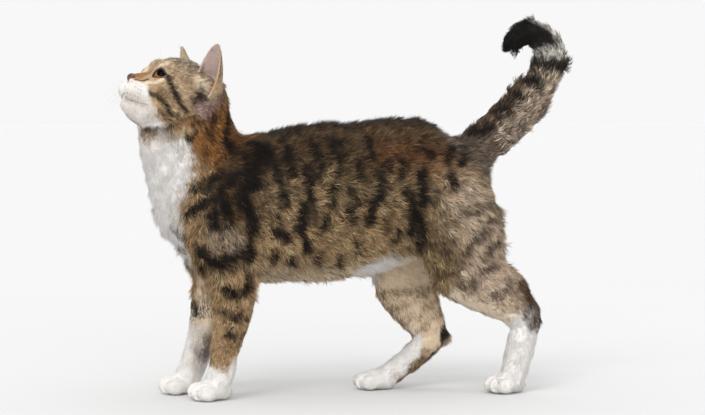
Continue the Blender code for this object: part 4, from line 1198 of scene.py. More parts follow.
def add_ball(name: str, segments: int, rings: int, radius: float = 1.0) -> bpy.types.Object:
    """Add a ball at the origin.

    Args:
        name: the ball's name.
        segments: how many faces go round.
        rings: how many faces go from pole to pole.
        radius: the ball's radius.

    Returns:
        The ball.
    """
    deselect()
    bpy.ops.mesh.primitive_uv_sphere_add(segments=segments, ring_count=rings, radius=radius)
    ball = bpy.context.object
    ball.name = name
    return ball


def finish_with(obj: bpy.types.Object, kind: str, **settings: object) -> None:
    """Add a modifier, set it and apply it.

    Args:
        obj: the object.
        kind: the modifier's type.
        settings: its settings by name.
    """
    choose(obj)
    bpy.ops.object.modifier_add(type=kind)
    modifier = obj.modifiers[-1]
    for name, value in settings.items():
        setattr(modifier, name, value)
    bpy.ops.object.modifier_apply(modifier=modifier.name)


def dress(obj: bpy.types.Object, material: bpy.types.Material) -> None:
    """Give a piece its material, its slot and its body.

    Args:
        obj: the piece.
        material: its finish.
    """
    obj.data.materials.clear()
    obj.data.materials.append(material)
    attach(obj, BODY)
    LOG.info("%s: %d faces", obj.name, len(obj.data.polygons))


def read_vectors(items: bpy.types.bpy_prop_collection, field: str) -> Array:
    """Read a vector from each of many things.

    Args:
        items: the things, such as a mesh's vertices.
        field: the vector's name.

    Returns:
        A row for each thing.
    """
    flat = np.empty(len(items) * 3, np.float32)
    items.foreach_get(field, flat)
    return flat.reshape(-1, 3).astype(float)


def positions(mesh: bpy.types.Mesh) -> Array:
    """Read a mesh's vertices."""
    return read_vectors(mesh.vertices, "co")


def reshape(mesh: bpy.types.Mesh, points: Array) -> None:
    """Move a mesh's vertices to new places."""
    mesh.vertices.foreach_set("co", points.astype(np.float32).ravel())
    mesh.update()


def point_normals(mesh: bpy.types.Mesh) -> Array:
    """Read a mesh's vertex normals."""
    return read_vectors(mesh.vertex_normals, "vector")


def paint(mesh: bpy.types.Mesh, colours: Array) -> None:
    """Keep a colour for each vertex.

    Args:
        mesh: the mesh.
        colours: a row of linear light for each vertex.
    """
    layer = mesh.color_attributes.new(COAT_COLOUR, "FLOAT_COLOR", "POINT")
    full = np.ones((len(mesh.vertices), 4), np.float32)
    full[:, :3] = colours
    layer.data.foreach_set("color", full.ravel())


@dataclass(frozen=True)
class Growth:
    """How the hair grows on one stretch of the body.

    Sizes are millimetres; rise is how far the tips stand off, as a share of the length; depth is how far
    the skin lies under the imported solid; melt is how much of the solid's own locks is smoothed away.
    """

    name: str
    nodes: tuple[str, ...]
    length: float
    width: float
    per_mm2: float
    rise: float
    depth: float
    melt: float
    line: tuple[Point, ...]
    bent: bool = False


GROWTHS = (
    Growth("head", ("head",), 4.6, 0.42, 2.0, 0.2, 0.7, 0.0, HEAD_LINE),
    Growth("ears", ("ear_left", "ear_right"), 2.6, 0.42, 1.7, 0.14, 0.0, 0.0, HEAD_LINE),
    Growth("neck", ("neck",), 6.5, 0.52, 1.35, 0.34, 2.2, 1.0, NECK_LINE),
    Growth("trunk", ("torso",), 8.5, 0.6, 1.15, 0.5, 2.7, 1.0, TRUNK_LINE),
    Growth("left_thigh", ("thigh_left",), 8.5, 0.6, 1.15, 0.4, 2.6, 1.0, HIND_LEFT),
    Growth("right_thigh", ("thigh_right",), 8.5, 0.6, 1.15, 0.4, 2.6, 1.0, HIND_RIGHT),
    Growth("left_hind", ("shank_left", "hindfoot_left"), 4.8, 0.46, 1.4, 0.28, 1.2, 0.7, HIND_LEFT),
    Growth("right_hind", ("shank_right", "hindfoot_right"), 4.8, 0.46, 1.4, 0.28, 1.2, 0.7, HIND_RIGHT),
    Growth("left_fore", ("foreleg_left", "forepaw_left"), 3.9, 0.42, 1.6, 0.24, 0.9, 0.6, FORELEG_LEFT),
    Growth("right_fore", ("foreleg_right", "forepaw_right"), 3.9, 0.42, 1.6, 0.24, 0.9, 0.6, FORELEG_RIGHT),
    Growth(
        "tail", ("tail_base", "tail_middle", "tail_tip"), 9.5, 0.62, 1.05, 0.36, 3.8, 1.0, TAIL_LINE, True,
    ),
)

# Places where the hair is longer or shorter than round about: a place, how far it reaches, and the factor.
LENGTHS = (
    ((148, 38, 185), 24, 1.4), ((152, 38, 150), 22, 1.6), ((150, 45, 115), 20, 1.8),
    ((-40, 0, 112), 40, 1.15), ((20, 0, 112), 30, 1.2), ((-190, 0, 200), 30, 1.1),
    ((-160, 27, 8), 24, 0.5), ((-182, 28, 8), 24, 0.5), ((140, 32, 8), 26, 0.5), ((20, 22, 8), 26, 0.5),
    ((112, 0, 245), 22, 0.8), ((170, 5, 354), 44, 0.65), ((-198, 22, 262), 26, 0.6),
)

# Places where the skin lies deeper: a place, how far it reaches, and how much deeper in millimetres.
DEPTHS = (((160, -5, 350), 26, 0.9), ((186, -4, 360), 28, 1.2))

# The share of a place's reach over which it acts in full, before it fades.
FADE_FROM = 0.4

# Solids whose own shape the skin keeps, as they have toes.
TOED = ("forepaw", "hindfoot")

# The way the right ear's hollow faces, the way the ear stands, and the nose's tip, in the head's axes.
EAR_FACING = (-0.92, 0.31, -0.33)
EAR_UP = (-0.17, 0.46, 0.92)
EAR_EDGE = (0.0, 0.35)
NOSE_TIP = (-50.0, 0.0, -10.0)


def nearness(points: Array, place: Point, reach: float) -> Array:
    """How near each point is to a place: 1 close by, fading to 0 at its reach."""
    gap = np.linalg.norm(points - np.array(place, float), axis=1)
    return 1 - smooth(reach * FADE_FROM, reach, gap)


def ear_inside(nodes: list[str], part: Array, normals: Array) -> Array:
    """Find the hollows of the ears.

    Args:
        nodes: the solids' names.
        part: the number of the solid at each place.
        normals: the skin's normals there.

    Returns:
        How surely each place is on the hollow side of an ear, from 0 to 1.
    """
    inside = np.zeros(len(part))
    for side in Side:
        facing = unit(HEAD.turned(on_side(EAR_FACING, side)))
        on_ear = part == nodes.index(f"ear_{side.word()}")
        inside += on_ear * smooth(*EAR_EDGE, normals @ facing)
    return inside


@dataclass
class Skin:
    """The one skin under the whole coat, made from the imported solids. Sizes are millimetres."""

    place: Place
    markings: Markings
    voxel: float = 0.9
    triangles: int = 186000
    weld_m: float = 0.00001
    coarse: float = 3.0
    coarse_rounds: int = 22
    soft_rounds: int = 30
    light_rounds: int = 4
    spread_rounds: int = 14
    least_soft: float = 0.25
    fine_melt: float = 0.2
    fine_keep: float = 0.25
    steepest: float = 1.0
    cleft: float = 1.8
    cleft_edge: tuple[float, float] = (0.4, 3.6)
    eye_calm: tuple[float, float] = (14.0, 20.0)
    shadow: float = 0.42
    shadow_gain: float = 0.56
    shadow_edge: tuple[float, float] = (0.25, 0.6)
    lid_points: int = 40
    lid_inner: float = 11.15
    lid_outer: float = 12.7
    lid_reach: float = 78.0
    lid_steps: tuple[float, ...] = (0.0, 0.35, 0.7, 1.0)

    def build(self, frame: dict) -> None:
        """Make the skin, colour it and put it in the place of the solids.

        Args:
            frame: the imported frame.
        """
        nodes = [name for growth in GROWTHS for name in growth.nodes]
        skin = self.joined(frame, nodes)
        finish_with(skin, "REMESH", mode="VOXEL", voxel_size=self.voxel * MM, adaptivity=0.0)
        owners = self.owners(skin, frame, nodes)
        growths = [next(g for g in GROWTHS if name in g.nodes) for name in nodes]
        melt = np.array([g.melt * (not name.startswith(TOED)) for g, name in zip(growths, nodes)])[owners]
        self.group(skin, "melt", np.round(self.eased(skin.data, melt), 2))
        self.group(skin, "soft", np.maximum(melt, self.least_soft))
        self.group(skin, "keep", np.where(melt < self.fine_melt, self.fine_keep, 1.0))
        self.melt_locks(skin)
        finish_with(skin, "SMOOTH", factor=0.5, iterations=self.soft_rounds, vertex_group="soft")
        self.sink(skin, np.array([g.depth for g in growths])[owners])
        finish_with(skin, "SMOOTH", factor=0.5, iterations=self.light_rounds, vertex_group="melt")
        share = self.triangles / (2 * len(skin.data.polygons))
        finish_with(skin, "DECIMATE", ratio=share, vertex_group="keep", vertex_group_factor=1.0)
        finish_with(skin, "TRIANGULATE")
        skin.name = "skin"
        skin.data.shade_smooth()
        self.nodes = nodes
        self.part = self.owners(skin, frame, nodes)
        self.paint(skin)
        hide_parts(*nodes)
        dress(skin, DownySkin().material())
        self.piece = skin

    def joined(self, frame: dict, nodes: list[str]) -> bpy.types.Object:
        """Join welded copies of the solids and the shells of the lids.

        Args:
            frame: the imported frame.
            nodes: the solids' names.

        Returns:
            The joined copies.
        """
        copies = []
        for name in nodes:
            copy = bpy.data.objects.new(f"flesh_{name}", frame["nodes"][name].data.copy())
            bpy.context.collection.objects.link(copy)
            copies.append(copy)
        copies += [self.lid_shell(side) for side in Side]
        whole = join(copies)
        finish_with(whole, "WELD", merge_threshold=self.weld_m)
        return whole

    def lid_shell(self, side: Side) -> bpy.types.Object:
        """Make the lids of one eye: a shell over the ball, open at the almond.

        Args:
            side: the eye.

        Returns:
            The shell.
        """
        turns = np.linspace(0, math.tau, self.lid_points, endpoint=False)
        start = np.arcsin(EYE.edge(turns) / self.lid_outer)
        outside = [(share, self.lid_outer) for share in self.lid_steps]
        inside = [(share, self.lid_inner) for share in self.lid_steps[:0:-1]]
        rings = []
        for share, reach in [(0.0, self.lid_inner), *outside, *inside]:
            lean = start + (math.radians(self.lid_reach) - start) * share
            rows = (np.cos(lean), -side.value * np.sin(lean) * np.cos(turns), np.sin(lean) * np.sin(turns))
            rings.append(EYE.middle(side) + reach * np.stack(rows, axis=1) @ EYE.axes(side))
        count, points = len(rings), self.lid_points
        faces = []
        for ring in range(count):
            for k in range(points):
                corners = (ring, k), (ring, (k + 1) % points), ((ring + 1) % count, (k + 1) % points)
                a, b, c = (row * points + column for row, column in corners)
                faces += [(a, b, c), (a, c, (ring + 1) % count * points + k)]
        vertices = self.place.model(HEAD.outward(np.vstack(rings)))
        shell = mesh_piece(f"lid_{side.word()}", vertices, np.array(faces))
        face_outward(shell)
        return shell

    def melt_locks(self, skin: bpy.types.Object) -> None:
        """Draw the shaggy parts onto a coarse smooth copy, so that the solids' own locks are gone.

        Args:
            skin: the skin so far.
        """
        choose(skin)
        bpy.ops.object.duplicate()
        coarse = bpy.context.object
        finish_with(coarse, "REMESH", mode="VOXEL", voxel_size=self.coarse * MM, adaptivity=0.0)
        finish_with(coarse, "SMOOTH", factor=0.5, iterations=self.coarse_rounds)
        finish_with(
            skin, "SHRINKWRAP", target=coarse, wrap_method="NEAREST_SURFACEPOINT", vertex_group="melt",
        )
        bpy.data.objects.remove(coarse)

    def owners(self, skin: bpy.types.Object, frame: dict, nodes: list[str]) -> Array:
        """Find the solid nearest each vertex of the skin.

        Args:
            skin: the skin so far.
            frame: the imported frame.
            nodes: the solids' names.

        Returns:
            The number of a solid for each vertex.
        """
        corners, faces, numbers = [], [], []
        for number, name in enumerate(nodes):
            mesh = frame["nodes"][name].data
            start = len(corners)
            corners.extend(vertex.co.copy() for vertex in mesh.vertices)
            faces.extend([start + k for k in polygon.vertices] for polygon in mesh.polygons)
            numbers.extend([number] * len(mesh.polygons))
        tree = BVHTree.FromPolygons(corners, faces)
        return np.array([numbers[tree.find_nearest(vertex.co)[2]] for vertex in skin.data.vertices])

    def group(self, skin: bpy.types.Object, name: str, weights: Array) -> None:
        """Keep a weight for each vertex as a vertex group.

        Args:
            skin: the skin so far.
            name: the group's name.
            weights: the weight of each vertex.
        """
        group = skin.vertex_groups.new(name=name)
        for weight in np.unique(weights):
            group.add(np.flatnonzero(weights == weight).tolist(), float(weight), "REPLACE")

    def eased(self, mesh: bpy.types.Mesh, values: Array) -> Array:
        """Even out a value over neighbouring vertices.

        Args:
            mesh: the mesh.
            values: the value at each vertex.

        Returns:
            The evened values.
        """
        ends = np.empty(len(mesh.edges) * 2, np.int32)
        mesh.edges.foreach_get("vertices", ends)
        ends = ends.reshape(-1, 2)
        count = np.bincount(ends.ravel(), minlength=len(values)).clip(1)
        eased = values.astype(float)
        for _ in range(self.spread_rounds):
            total = np.bincount(ends[:, 0], eased[ends[:, 1]], len(values))
            total += np.bincount(ends[:, 1], eased[ends[:, 0]], len(values))
            eased = total / count
        return eased

    def sink(self, skin: bpy.types.Object, depth: Array) -> None:
        """Move the skin inward by the coat's depth, eased where two depths meet.

        Args:
            skin: the skin so far.
            depth: the coat's depth at each vertex.
        """
        mesh = skin.data
        eased = np.minimum(self.eased(mesh, depth), depth + self.steepest)
        points = self.place.cat(positions(mesh))
        for place, reach, extra in DEPTHS:
            eased += extra * nearness(points, place, reach)
        for mark in TOE_MARKS:
            gap = distance_to_line(points, np.array(mark.points))
            eased += self.cleft * (1 - smooth(*self.cleft_edge, gap))
        local = HEAD.inward(points)
        for side in Side:
            eased *= smooth(*self.eye_calm, np.linalg.norm(local - EYE.middle(side), axis=1))
        reshape(mesh, positions(mesh) - point_normals(mesh) * eased[:, None] * MM)

    def paint(self, skin: bpy.types.Object) -> None:
        """Colour the skin by the coat's markings, with the ears bare and pink inside.

        Args:
            skin: the finished skin.
        """
        points = self.place.cat(positions(skin.data))
        heads = [k for k, name in enumerate(self.nodes) if name.startswith(("head", "ear"))]
        on_head = np.isin(self.part, heads)
        tones = self.markings.colours(points, on_head)
        tones *= (self.shadow + self.shadow_gain * smooth(*self.shadow_edge, tones.mean(1)))[:, None]
        inner = ear_inside(self.nodes, self.part, point_normals(skin.data))[:, None]
        hollow = np.tile(np.array(linear(Tone.PINK.value)), (len(points), 1))
        for mark in EAR_MARKS:
            hollow = blend(hollow, mark, points, on_head)
        paint(skin.data, tones * (1 - inner) + hollow * inner)


class HairLie:
    """The way the hair lies at any place on the cat."""

    REACH = 21.0
    BATCH = 20000

    def __init__(self) -> None:
        """Gather the places and ways, on both sides and along the limbs and the tail."""
        rows = []
        for place, way in LIE:
            rows.append((place, way))
            if place[1] > 0:
                rows.append((on_side(place, Side.LEFT), on_side(way, Side.LEFT)))
        for line in (TAIL_LINE[1:], FORELEG_LEFT[1:], FORELEG_RIGHT[1:], HIND_LEFT[1:], HIND_RIGHT[1:]):
            steps = np.array(line, float)
            for start, end in zip(steps[:-1], steps[1:]):
                rows.append(((start + end) / 2, end - start))
        self.places = np.array([place for place, _ in rows], float)
        self.ways = unit(np.array([way for _, way in rows], float))

    def at(
        self, points: Array, normals: Array, on_head: Array, ear_side: Array
    ) -> Array:
        """Find the way the hair lies.

        Args:
            points: places in the cat's frame.
            normals: the skin's normals there.
            on_head: whether each place is on the head or an ear.
            ear_side: -1 or 1 on an ear, else 0.

        Returns:
            Unit vectors along the skin.
        """
        ways = np.empty_like(points)
        for start in range(0, len(points), self.BATCH):
            part = slice(start, start + self.BATCH)
            gaps = ((points[part, None, :] - self.places[None]) ** 2).sum(-1)
            pull = np.exp(-(gaps - gaps.min(1, keepdims=True)) / (2 * self.REACH**2))
            ways[part] = pull @ self.ways
        back = unit(HEAD.inward(points) - np.array(NOSE_TIP))
        ways[on_head] = HEAD.turned(back)[on_head]
        for side in Side:
            ways[ear_side == side.value] = HEAD.turned(on_side(EAR_UP, side))
        flat = ways - (ways * normals).sum(1, keepdims=True) * normals
        return unit(flat)


@dataclass(frozen=True)
class TuftForm:
    """How a tuft is shaped. Lengths are millimetres; pairs are the least and the most of a draw."""

    length_spread: tuple[float, float] = (0.72, 1.18)
    width_spread: tuple[float, float] = (0.75, 1.25)
    width_limits: tuple[float, float] = (0.6, 1.3)
    rise_spread: tuple[float, float] = (0.6, 1.4)
    most_rise: float = 0.72
    lift_share: float = 0.55
    swirl: float = 0.8
    jitter: float = 1.1
    middle_along: float = 0.46
    middle_rise: float = 0.85
    middle_off: float = 0.04
    root_depth: float = 0.5
    clump: float = 3.8
    clump_length: float = 8.5
    pull: float = 0.45
    pull_spread: tuple[float, float] = (0.4, 1.0)
    middle_pull: float = 0.3
    floor_gap: float = 0.3
    ring: tuple[tuple[float, float], ...] = ((-0.5, -0.2), (0.5, -0.2), (0.0, 0.4))
    bent_root: float = 0.9
    own_normal: float = 0.55
    skin_normal: float = 0.6


@dataclass(frozen=True)
class TuftShade:
    """How a tuft's colour differs from the pattern: it is read a little off, flecked, ticked, and darker at
    the root and paler at the tip.
    """

    read_along: tuple[float, float] = (0.3, 0.7)
    read_off: float = 0.9
    fleck: int = 4
    uneven: float = 0.6
    uneven_fall: float = 0.75
    uneven_limits: tuple[float, float] = (0.08, 0.48)
    head_uneven: float = 0.12
    own_uneven: float = 0.08
    ticked: tuple[float, float] = (0.02, 0.6)
    dark_share: float = 0.24
    dark: float = 0.3
    pale_from: float = 0.86
    pale: float = 1.4
    most: float = 0.95
    # From root to most_tip: roots darker and tips paler, partly the hair's own banding, partly painted shade
    # deep in the coat and painted light on the tips.
    root: float = 0.36
    root_gain: float = 0.54
    root_edge: tuple[float, float] = (0.25, 0.65)
    middle: float = 0.97
    tip: float = 1.3
    tip_fall: float = 0.3
    most_tip: float = 0.97


@dataclass
class Tufts:
    """The tufts of one stretch, a row for each. Places are in the cat's frame; tones are three to a tuft."""

    roots: Array
    normals: Array
    part: Array
    on_head: Array | None = None
    hollow: Array | None = None
    ways: Array | None = None
    lengths: Array | None = None
    widths: Array | None = None
    middles: Array | None = None
    tips: Array | None = None
    tones: Array | None = None

    def pick(self, rows: Array) -> "Tufts":
        """Take some of the tufts, or put them in another order."""
        return Tufts(*(None if value is None else value[rows] for value in vars(self).values()))


@dataclass
class Coat:
    """The coat of tufts over the skin, one or more pieces for each growth."""

    place: Place
    markings: Markings
    skin: Skin
    form: TuftForm = TuftForm()
    shade: TuftShade = TuftShade()
    seed: int = 5
    most_triangles: int = 190000
    tuft_triangles: int = 4
    bent_triangles: int = 10
    patch: float = 0.003
    patch_margin: float = 1.5
    lid_margin: float = 0.9
    nose_margin: float = 0.6
    sole_height: float = 1.2
    sole_turn: float = -0.5
    ear_bare: float = 0.72
    ear_hair: float = 2.2
    ear_hollow: float = 0.5
    nose_length: float = 0.36
    nose_gain: float = 0.94
    nose_reach: tuple[float, float] = (8.0, 78.0)

    def build(self) -> None:
        """Grow every stretch of the coat."""
        mesh = self.skin.piece.data
        self.points = positions(mesh)
        self.normals = point_normals(mesh)
        flat = np.empty(len(mesh.polygons) * 3, np.int32)
        mesh.polygons.foreach_get("vertices", flat)
        self.faces = flat.reshape(-1, 3)
        corners = self.points[self.faces]
        spans = np.cross(corners[:, 1] - corners[:, 0], corners[:, 2] - corners[:, 0])
        self.areas = np.linalg.norm(spans, axis=1) / 2
        self.face_part = self.skin.part[self.faces[:, 0]]
        self.lie = HairLie()
        self.material = GuardHair().material()
        self.ruffle = Ripple(seed=31, wave=26)
        self.lift = Ripple(seed=32, wave=16)
        for number, growth in enumerate(GROWTHS):
            self.grow(growth, np.random.default_rng(self.seed + number))

    def grow(self, growth: Growth, draw: np.random.Generator) -> None:
        """Grow one stretch of hair and make its pieces.

        Args:
            growth: how the hair grows there.
            draw: the seeded draw.
        """
        numbers = [self.skin.nodes.index(name) for name in growth.nodes]
        faces = np.flatnonzero(np.isin(self.face_part, numbers))
        wanted = self.areas[faces] / MM**2 * growth.per_mm2
        counts = np.floor(wanted + draw.random(len(faces))).astype(int)
        chosen = np.repeat(faces, counts)
        shares = draw.random((len(chosen), 2))
        shares = np.where(shares.sum(1, keepdims=True) > 1, 1 - shares, shares)
        weights = np.column_stack((1 - shares.sum(1), shares))[:, :, None]
        roots = self.place.cat((self.points[self.faces[chosen]] * weights).sum(1))
        normals = unit((self.normals[self.faces[chosen]] * weights).sum(1))
        tufts = Tufts(roots, normals, self.face_part[chosen])
        tufts = tufts.pick(self.haired(tufts, draw))
        lengthwise = 2 if growth.name == "tail" else 0
        tufts = tufts.pick(np.argsort(tufts.roots[:, lengthwise], kind="stable"))
        count = len(tufts.roots)
        tufts.on_head = np.full(count, growth.name in ("head", "ears"))
        tufts.hollow = ear_inside(self.skin.nodes, tufts.part, tufts.normals) > self.ear_hollow
        ear_side = np.zeros(count, int)
        for side in Side:
            ear_side[tufts.part == self.skin.nodes.index(f"ear_{side.word()}")] = side.value
        tufts.ways = self.lie.at(tufts.roots, tufts.normals, tufts.on_head, ear_side)
        tufts.lengths = self.lengths(growth, tufts, draw)
        tufts.widths = growth.width * draw.uniform(*self.form.width_spread, count)
        tufts.widths *= np.clip(tufts.lengths / growth.length, *self.form.width_limits)
        tufts.lengths[tufts.hollow] *= self.ear_hair
        tufts.widths[tufts.hollow] /= self.ear_hair
        self.shape(growth, tufts, draw)
        tufts.tones = self.tones(tufts, draw)
        per_tuft = self.bent_triangles if growth.bent else self.tuft_triangles
        pieces = math.ceil(count * per_tuft / self.most_triangles)
        for number, rows in enumerate(np.array_split(np.arange(count), pieces)):
            name = f"coat_{growth.name}" + (f"_{number + 1}" if pieces > 1 else "")
            self.piece(name, growth, tufts.pick(rows))

    def haired(self, tufts: Tufts, draw: np.random.Generator) -> Array:
        """Leave hair off the ears' hollows, the eyes' rims, the nose and the soles.

        Args:
            tufts: the roots.
            draw: the seeded draw.

        Returns:
            Whether hair grows at each root.
        """
        inside = ear_inside(self.skin.nodes, tufts.part, tufts.normals)
        bare = draw.random(len(tufts.roots)) < inside * self.ear_bare
        local = HEAD.inward(tufts.roots)
        for side in Side:
            bare |= EYE.gap(side, local) < self.lid_margin
        nose = (local - np.array(NOSE_SHAPE.centre)) / (np.array(NOSE_SHAPE.half) + self.nose_margin)
        bare |= (nose**2).sum(1) < 1
        bare |= (tufts.roots[:, 2] < self.sole_height) & (tufts.normals[:, 2] < self.sole_turn)
        return ~bare

    def lengths(self, growth: Growth, tufts: Tufts, draw: np.random.Generator) -> Array:
        """Draw how long the hair is.

        Args:
            growth: how the hair grows there.
            tufts: the roots.
            draw: the seeded draw.

        Returns:
            The length at each root.
        """
        lengths = growth.length * draw.uniform(*self.form.length_spread, len(tufts.roots))
        folded = tufts.roots * (1, 0, 1) + np.abs(tufts.roots) * (0, 1, 0)
        for place, reach, factor in LENGTHS:
            lengths *= 1 + (factor - 1) * nearness(folded, place, reach)
        from_nose = np.linalg.norm(HEAD.inward(tufts.roots) - np.array(NOSE_TIP), axis=1)
        shrink = self.nose_length + self.nose_gain * smooth(*self.nose_reach, from_nose)
        return np.where(tufts.on_head & (growth.name == "head"), lengths * shrink, lengths)

    def shape(self, growth: Growth, tufts: Tufts, draw: np.random.Generator) -> None:
        """Bend each tuft along its way and draw neighbouring tips together.

        Args:
            growth: how the hair grows there.
            tufts: the tufts, given their middles and tips here.
            draw: the seeded draw.
        """
        form, roots, normals, lengths = self.form, tufts.roots, tufts.normals, tufts.lengths[:, None]
        count = len(roots)
        across = np.cross(normals, tufts.ways)
        turn = form.swirl * growth.rise * self.ruffle.at(roots)
        turn += draw.normal(0, growth.rise, count) * form.jitter
        ways = tufts.ways * np.cos(turn)[:, None] + across * np.sin(turn)[:, None]
        rise = growth.rise * (1 + form.lift_share * self.lift.at(roots))
        rise = np.minimum(rise * draw.uniform(*form.rise_spread, count), form.most_rise)
        tips = roots + (ways + normals * rise[:, None]) * lengths
        bow = (rise * form.middle_rise + form.middle_off)[:, None]
        middles = roots + (ways * form.middle_along + normals * bow) * lengths
        step = max(2, int(growth.per_mm2 * (form.clump * growth.length / form.clump_length) ** 2))
        starts = np.arange(0, count, step)
        heads = starts + draw.integers(0, step, len(starts))
        leader = nearest_head(middles, heads[heads < count])
        pull = form.pull * draw.uniform(*form.pull_spread, (count, 1))
        tufts.tips = tips + (tips[leader] - tips) * pull
        tufts.middles = middles + (middles[leader] - middles) * pull * form.middle_pull
        for line in (tufts.tips, tufts.middles):
            line[:, 2] = np.maximum(line[:, 2], form.floor_gap)
        tufts.roots = roots - normals * form.root_depth

    def tones(self, tufts: Tufts, draw: np.random.Generator) -> Array:
        """Colour the tufts.

        Args:
            tufts: the shaped tufts.
            draw: the seeded draw.

        Returns:
            The colours of each tuft's root, middle and tip.
        """
        shade, roots = self.shade, tufts.roots
        along = draw.uniform(*shade.read_along, (len(roots), 1))
        seen = roots + (tufts.tips - roots) * along + draw.normal(0, shade.read_off, roots.shape)
        base = self.markings.colours(seen, tufts.on_head)
        base[tufts.hollow] = linear(Tone.EAR_HAIR.value)
        level = base.mean(1)
        fleck = nearest_head(roots, np.flatnonzero(draw.random(len(roots)) < 1 / shade.fleck))
        low, high = shade.ticked
        spread = np.clip(shade.uneven - shade.uneven_fall * level, *shade.uneven_limits)
        spread += shade.head_uneven * tufts.on_head * (level < high)
        own = draw.normal(0, 1, len(roots))[fleck] * spread
        own = np.exp(own + draw.normal(0, shade.own_uneven, len(roots)))
        ticked = (level > low) & (level < high)
        lot = draw.random(len(roots))[fleck]
        paler = np.where(ticked & (lot > shade.pale_from), own * shade.pale, own)
        own = np.where(ticked & (lot < shade.dark_share), own * shade.dark, paler)
        base = np.clip(base * own[:, None], 0, shade.most)
        # Roots darker and tips paler: partly the hair's own banding, partly painted shade deep in the coat
        # and painted light on the tips.
        root_band_and_shade = (shade.root + shade.root_gain * smooth(*shade.root_edge, level))[:, None]
        tip = np.clip(base * (shade.tip - shade.tip_fall * root_band_and_shade), 0, shade.most_tip)
        return np.stack((base * root_band_and_shade, base * shade.middle, tip), axis=1)

    def piece(self, name: str, growth: Growth, tufts: Tufts) -> None:
        """Make one piece of the coat from its tufts.

        Args:
            name: the piece's name.
            growth: how the hair grows there.
            tufts: the finished tufts.
        """
        form, roots, tips = self.form, tufts.roots, tufts.tips
        along = unit(tips - roots)
        across = unit(np.cross(tufts.normals, along))
        up = np.cross(along, across)
        sections = ((roots, 0, 1.0),)
        if growth.bent:
            sections = ((roots, 0, form.bent_root), (tufts.middles, 1, 1.0))
        rows, shades, stations = [], [], []
        for centre, tone, wide in sections:
            for side, rise in form.ring:
                rows.append(centre + (across * side + up * rise) * (tufts.widths * wide)[:, None])
                shades.append(tufts.tones[:, tone])
                stations.append((side + 0.5, 0.5 * tone))
        rows.append(tips)
        shades.append(tufts.tones[:, 2])
        stations.append((0.5, 1.0))
        size = len(rows)
        last = size - 4
        pattern = [(0, 2, 1)]
        for start in range(0, last, 3):
            for k in range(3):
                a, b = start + k, start + (k + 1) % 3
                pattern += [(a, b, b + 3), (a, b + 3, a + 3)]
        pattern += [(last + k, last + (k + 1) % 3, size - 1) for k in range(3)]
        vertices = self.place.model(np.stack(rows, axis=1).reshape(-1, 3))
        faces = (np.arange(len(roots))[:, None, None] * size + np.array(pattern)[None]).reshape(-1, 3)
        obj = mesh_piece(name, vertices, faces)
        mesh = obj.data
        paint(mesh, np.stack(shades, axis=1).reshape(-1, 3))
        self.bake_map(mesh, unwrap(roots, growth.line), faces, np.array(stations))
        own = point_normals(mesh) * form.own_normal
        soft = unit(own + np.repeat(tufts.normals, size, axis=0) * form.skin_normal)
        mesh.shade_smooth()
        mesh.normals_split_custom_set_from_vertices(soft.astype(np.float32).tolist())
        dress(obj, self.material)

    def bake_map(
        self, mesh: bpy.types.Mesh, spots: Array, faces: Array, stations: Array
    ) -> None:
        """Lay each tuft as a small patch at its root's place on the unwrapped skin.

        Args:
            mesh: the piece's mesh.
            spots: each root's place on the unwrapped skin.
            faces: the corners of each face.
            stations: each corner's place in a tuft's patch.
        """
        size = len(stations)
        margin = self.patch * self.patch_margin
        low, high = spots.min(0), spots.max(0)
        spots = margin + (spots - low) / (high - low) * (1 - 3 * margin)
        corners = faces.reshape(-1)
        where = spots[corners // size] + stations[corners % size] * self.patch
        layer = mesh.uv_layers.new(name=BAKE_MAP)
        layer.data.foreach_set("uv", where.astype(np.float32).ravel())


def nearest_head(points: Array, heads: Array) -> Array:
    """Gather points round some of them.

    Args:
        points: the points.
        heads: the numbers of the points that others gather round.

    Returns:
        For each point, the number of the head nearest to it.
    """
    tree = KDTree(len(heads))
    for head in heads:
        tree.insert(points[head], head)
    tree.balance()
    return np.array([tree.find(point)[1] for point in points])


def mesh_piece(name: str, vertices: Array, faces: Array) -> bpy.types.Object:
    """Make a mesh of triangles from arrays, for many small things at once.

    Args:
        name: the object's name.
        vertices: a row for each vertex, in the model's metres.
        faces: the three corners of each triangle.

    Returns:
        The object.
    """
    mesh = bpy.data.meshes.new(name)
    mesh.vertices.add(len(vertices))
    mesh.vertices.foreach_set("co", vertices.astype(np.float32).ravel())
    mesh.loops.add(len(faces) * 3)
    mesh.loops.foreach_set("vertex_index", faces.astype(np.int32).ravel())
    mesh.polygons.add(len(faces))
    mesh.polygons.foreach_set("loop_start", np.arange(0, len(faces) * 3, 3, dtype=np.int32))
    mesh.update(calc_edges=True)
    obj = bpy.data.objects.new(name, mesh)
    bpy.context.collection.objects.link(obj)
    return obj


def unwrap(points: Array, line: tuple[Point, ...]) -> Array:
    """Unroll points from round a line.

    Args:
        points: the points.
        line: the line's points.

    Returns:
        The turn about the line and the way along it, for each point.
    """
    steps = np.array(line, float)
    best = np.full(len(points), np.inf)
    spots = np.zeros((len(points), 2))
    travelled = 0.0
    for start, end in zip(steps[:-1], steps[1:]):
        along = end - start
        reach = np.linalg.norm(along)
        share = np.clip((points - start) @ along / reach**2, 0, 1)
        away = points - start - share[:, None] * along
        gap = np.linalg.norm(away, axis=1)
        side = np.array((0.0, 1.0, 0.0))
        side = unit(side - along * (side @ along) / reach**2)
        top = np.cross(along / reach, side)
        near = gap < best
        best[near] = gap[near]
        turn = np.arctan2(away @ side, away @ top)
        over = (points - start) @ along / reach
        spots[near] = np.column_stack((turn, travelled + over))[near]
        travelled += reach
    return spots


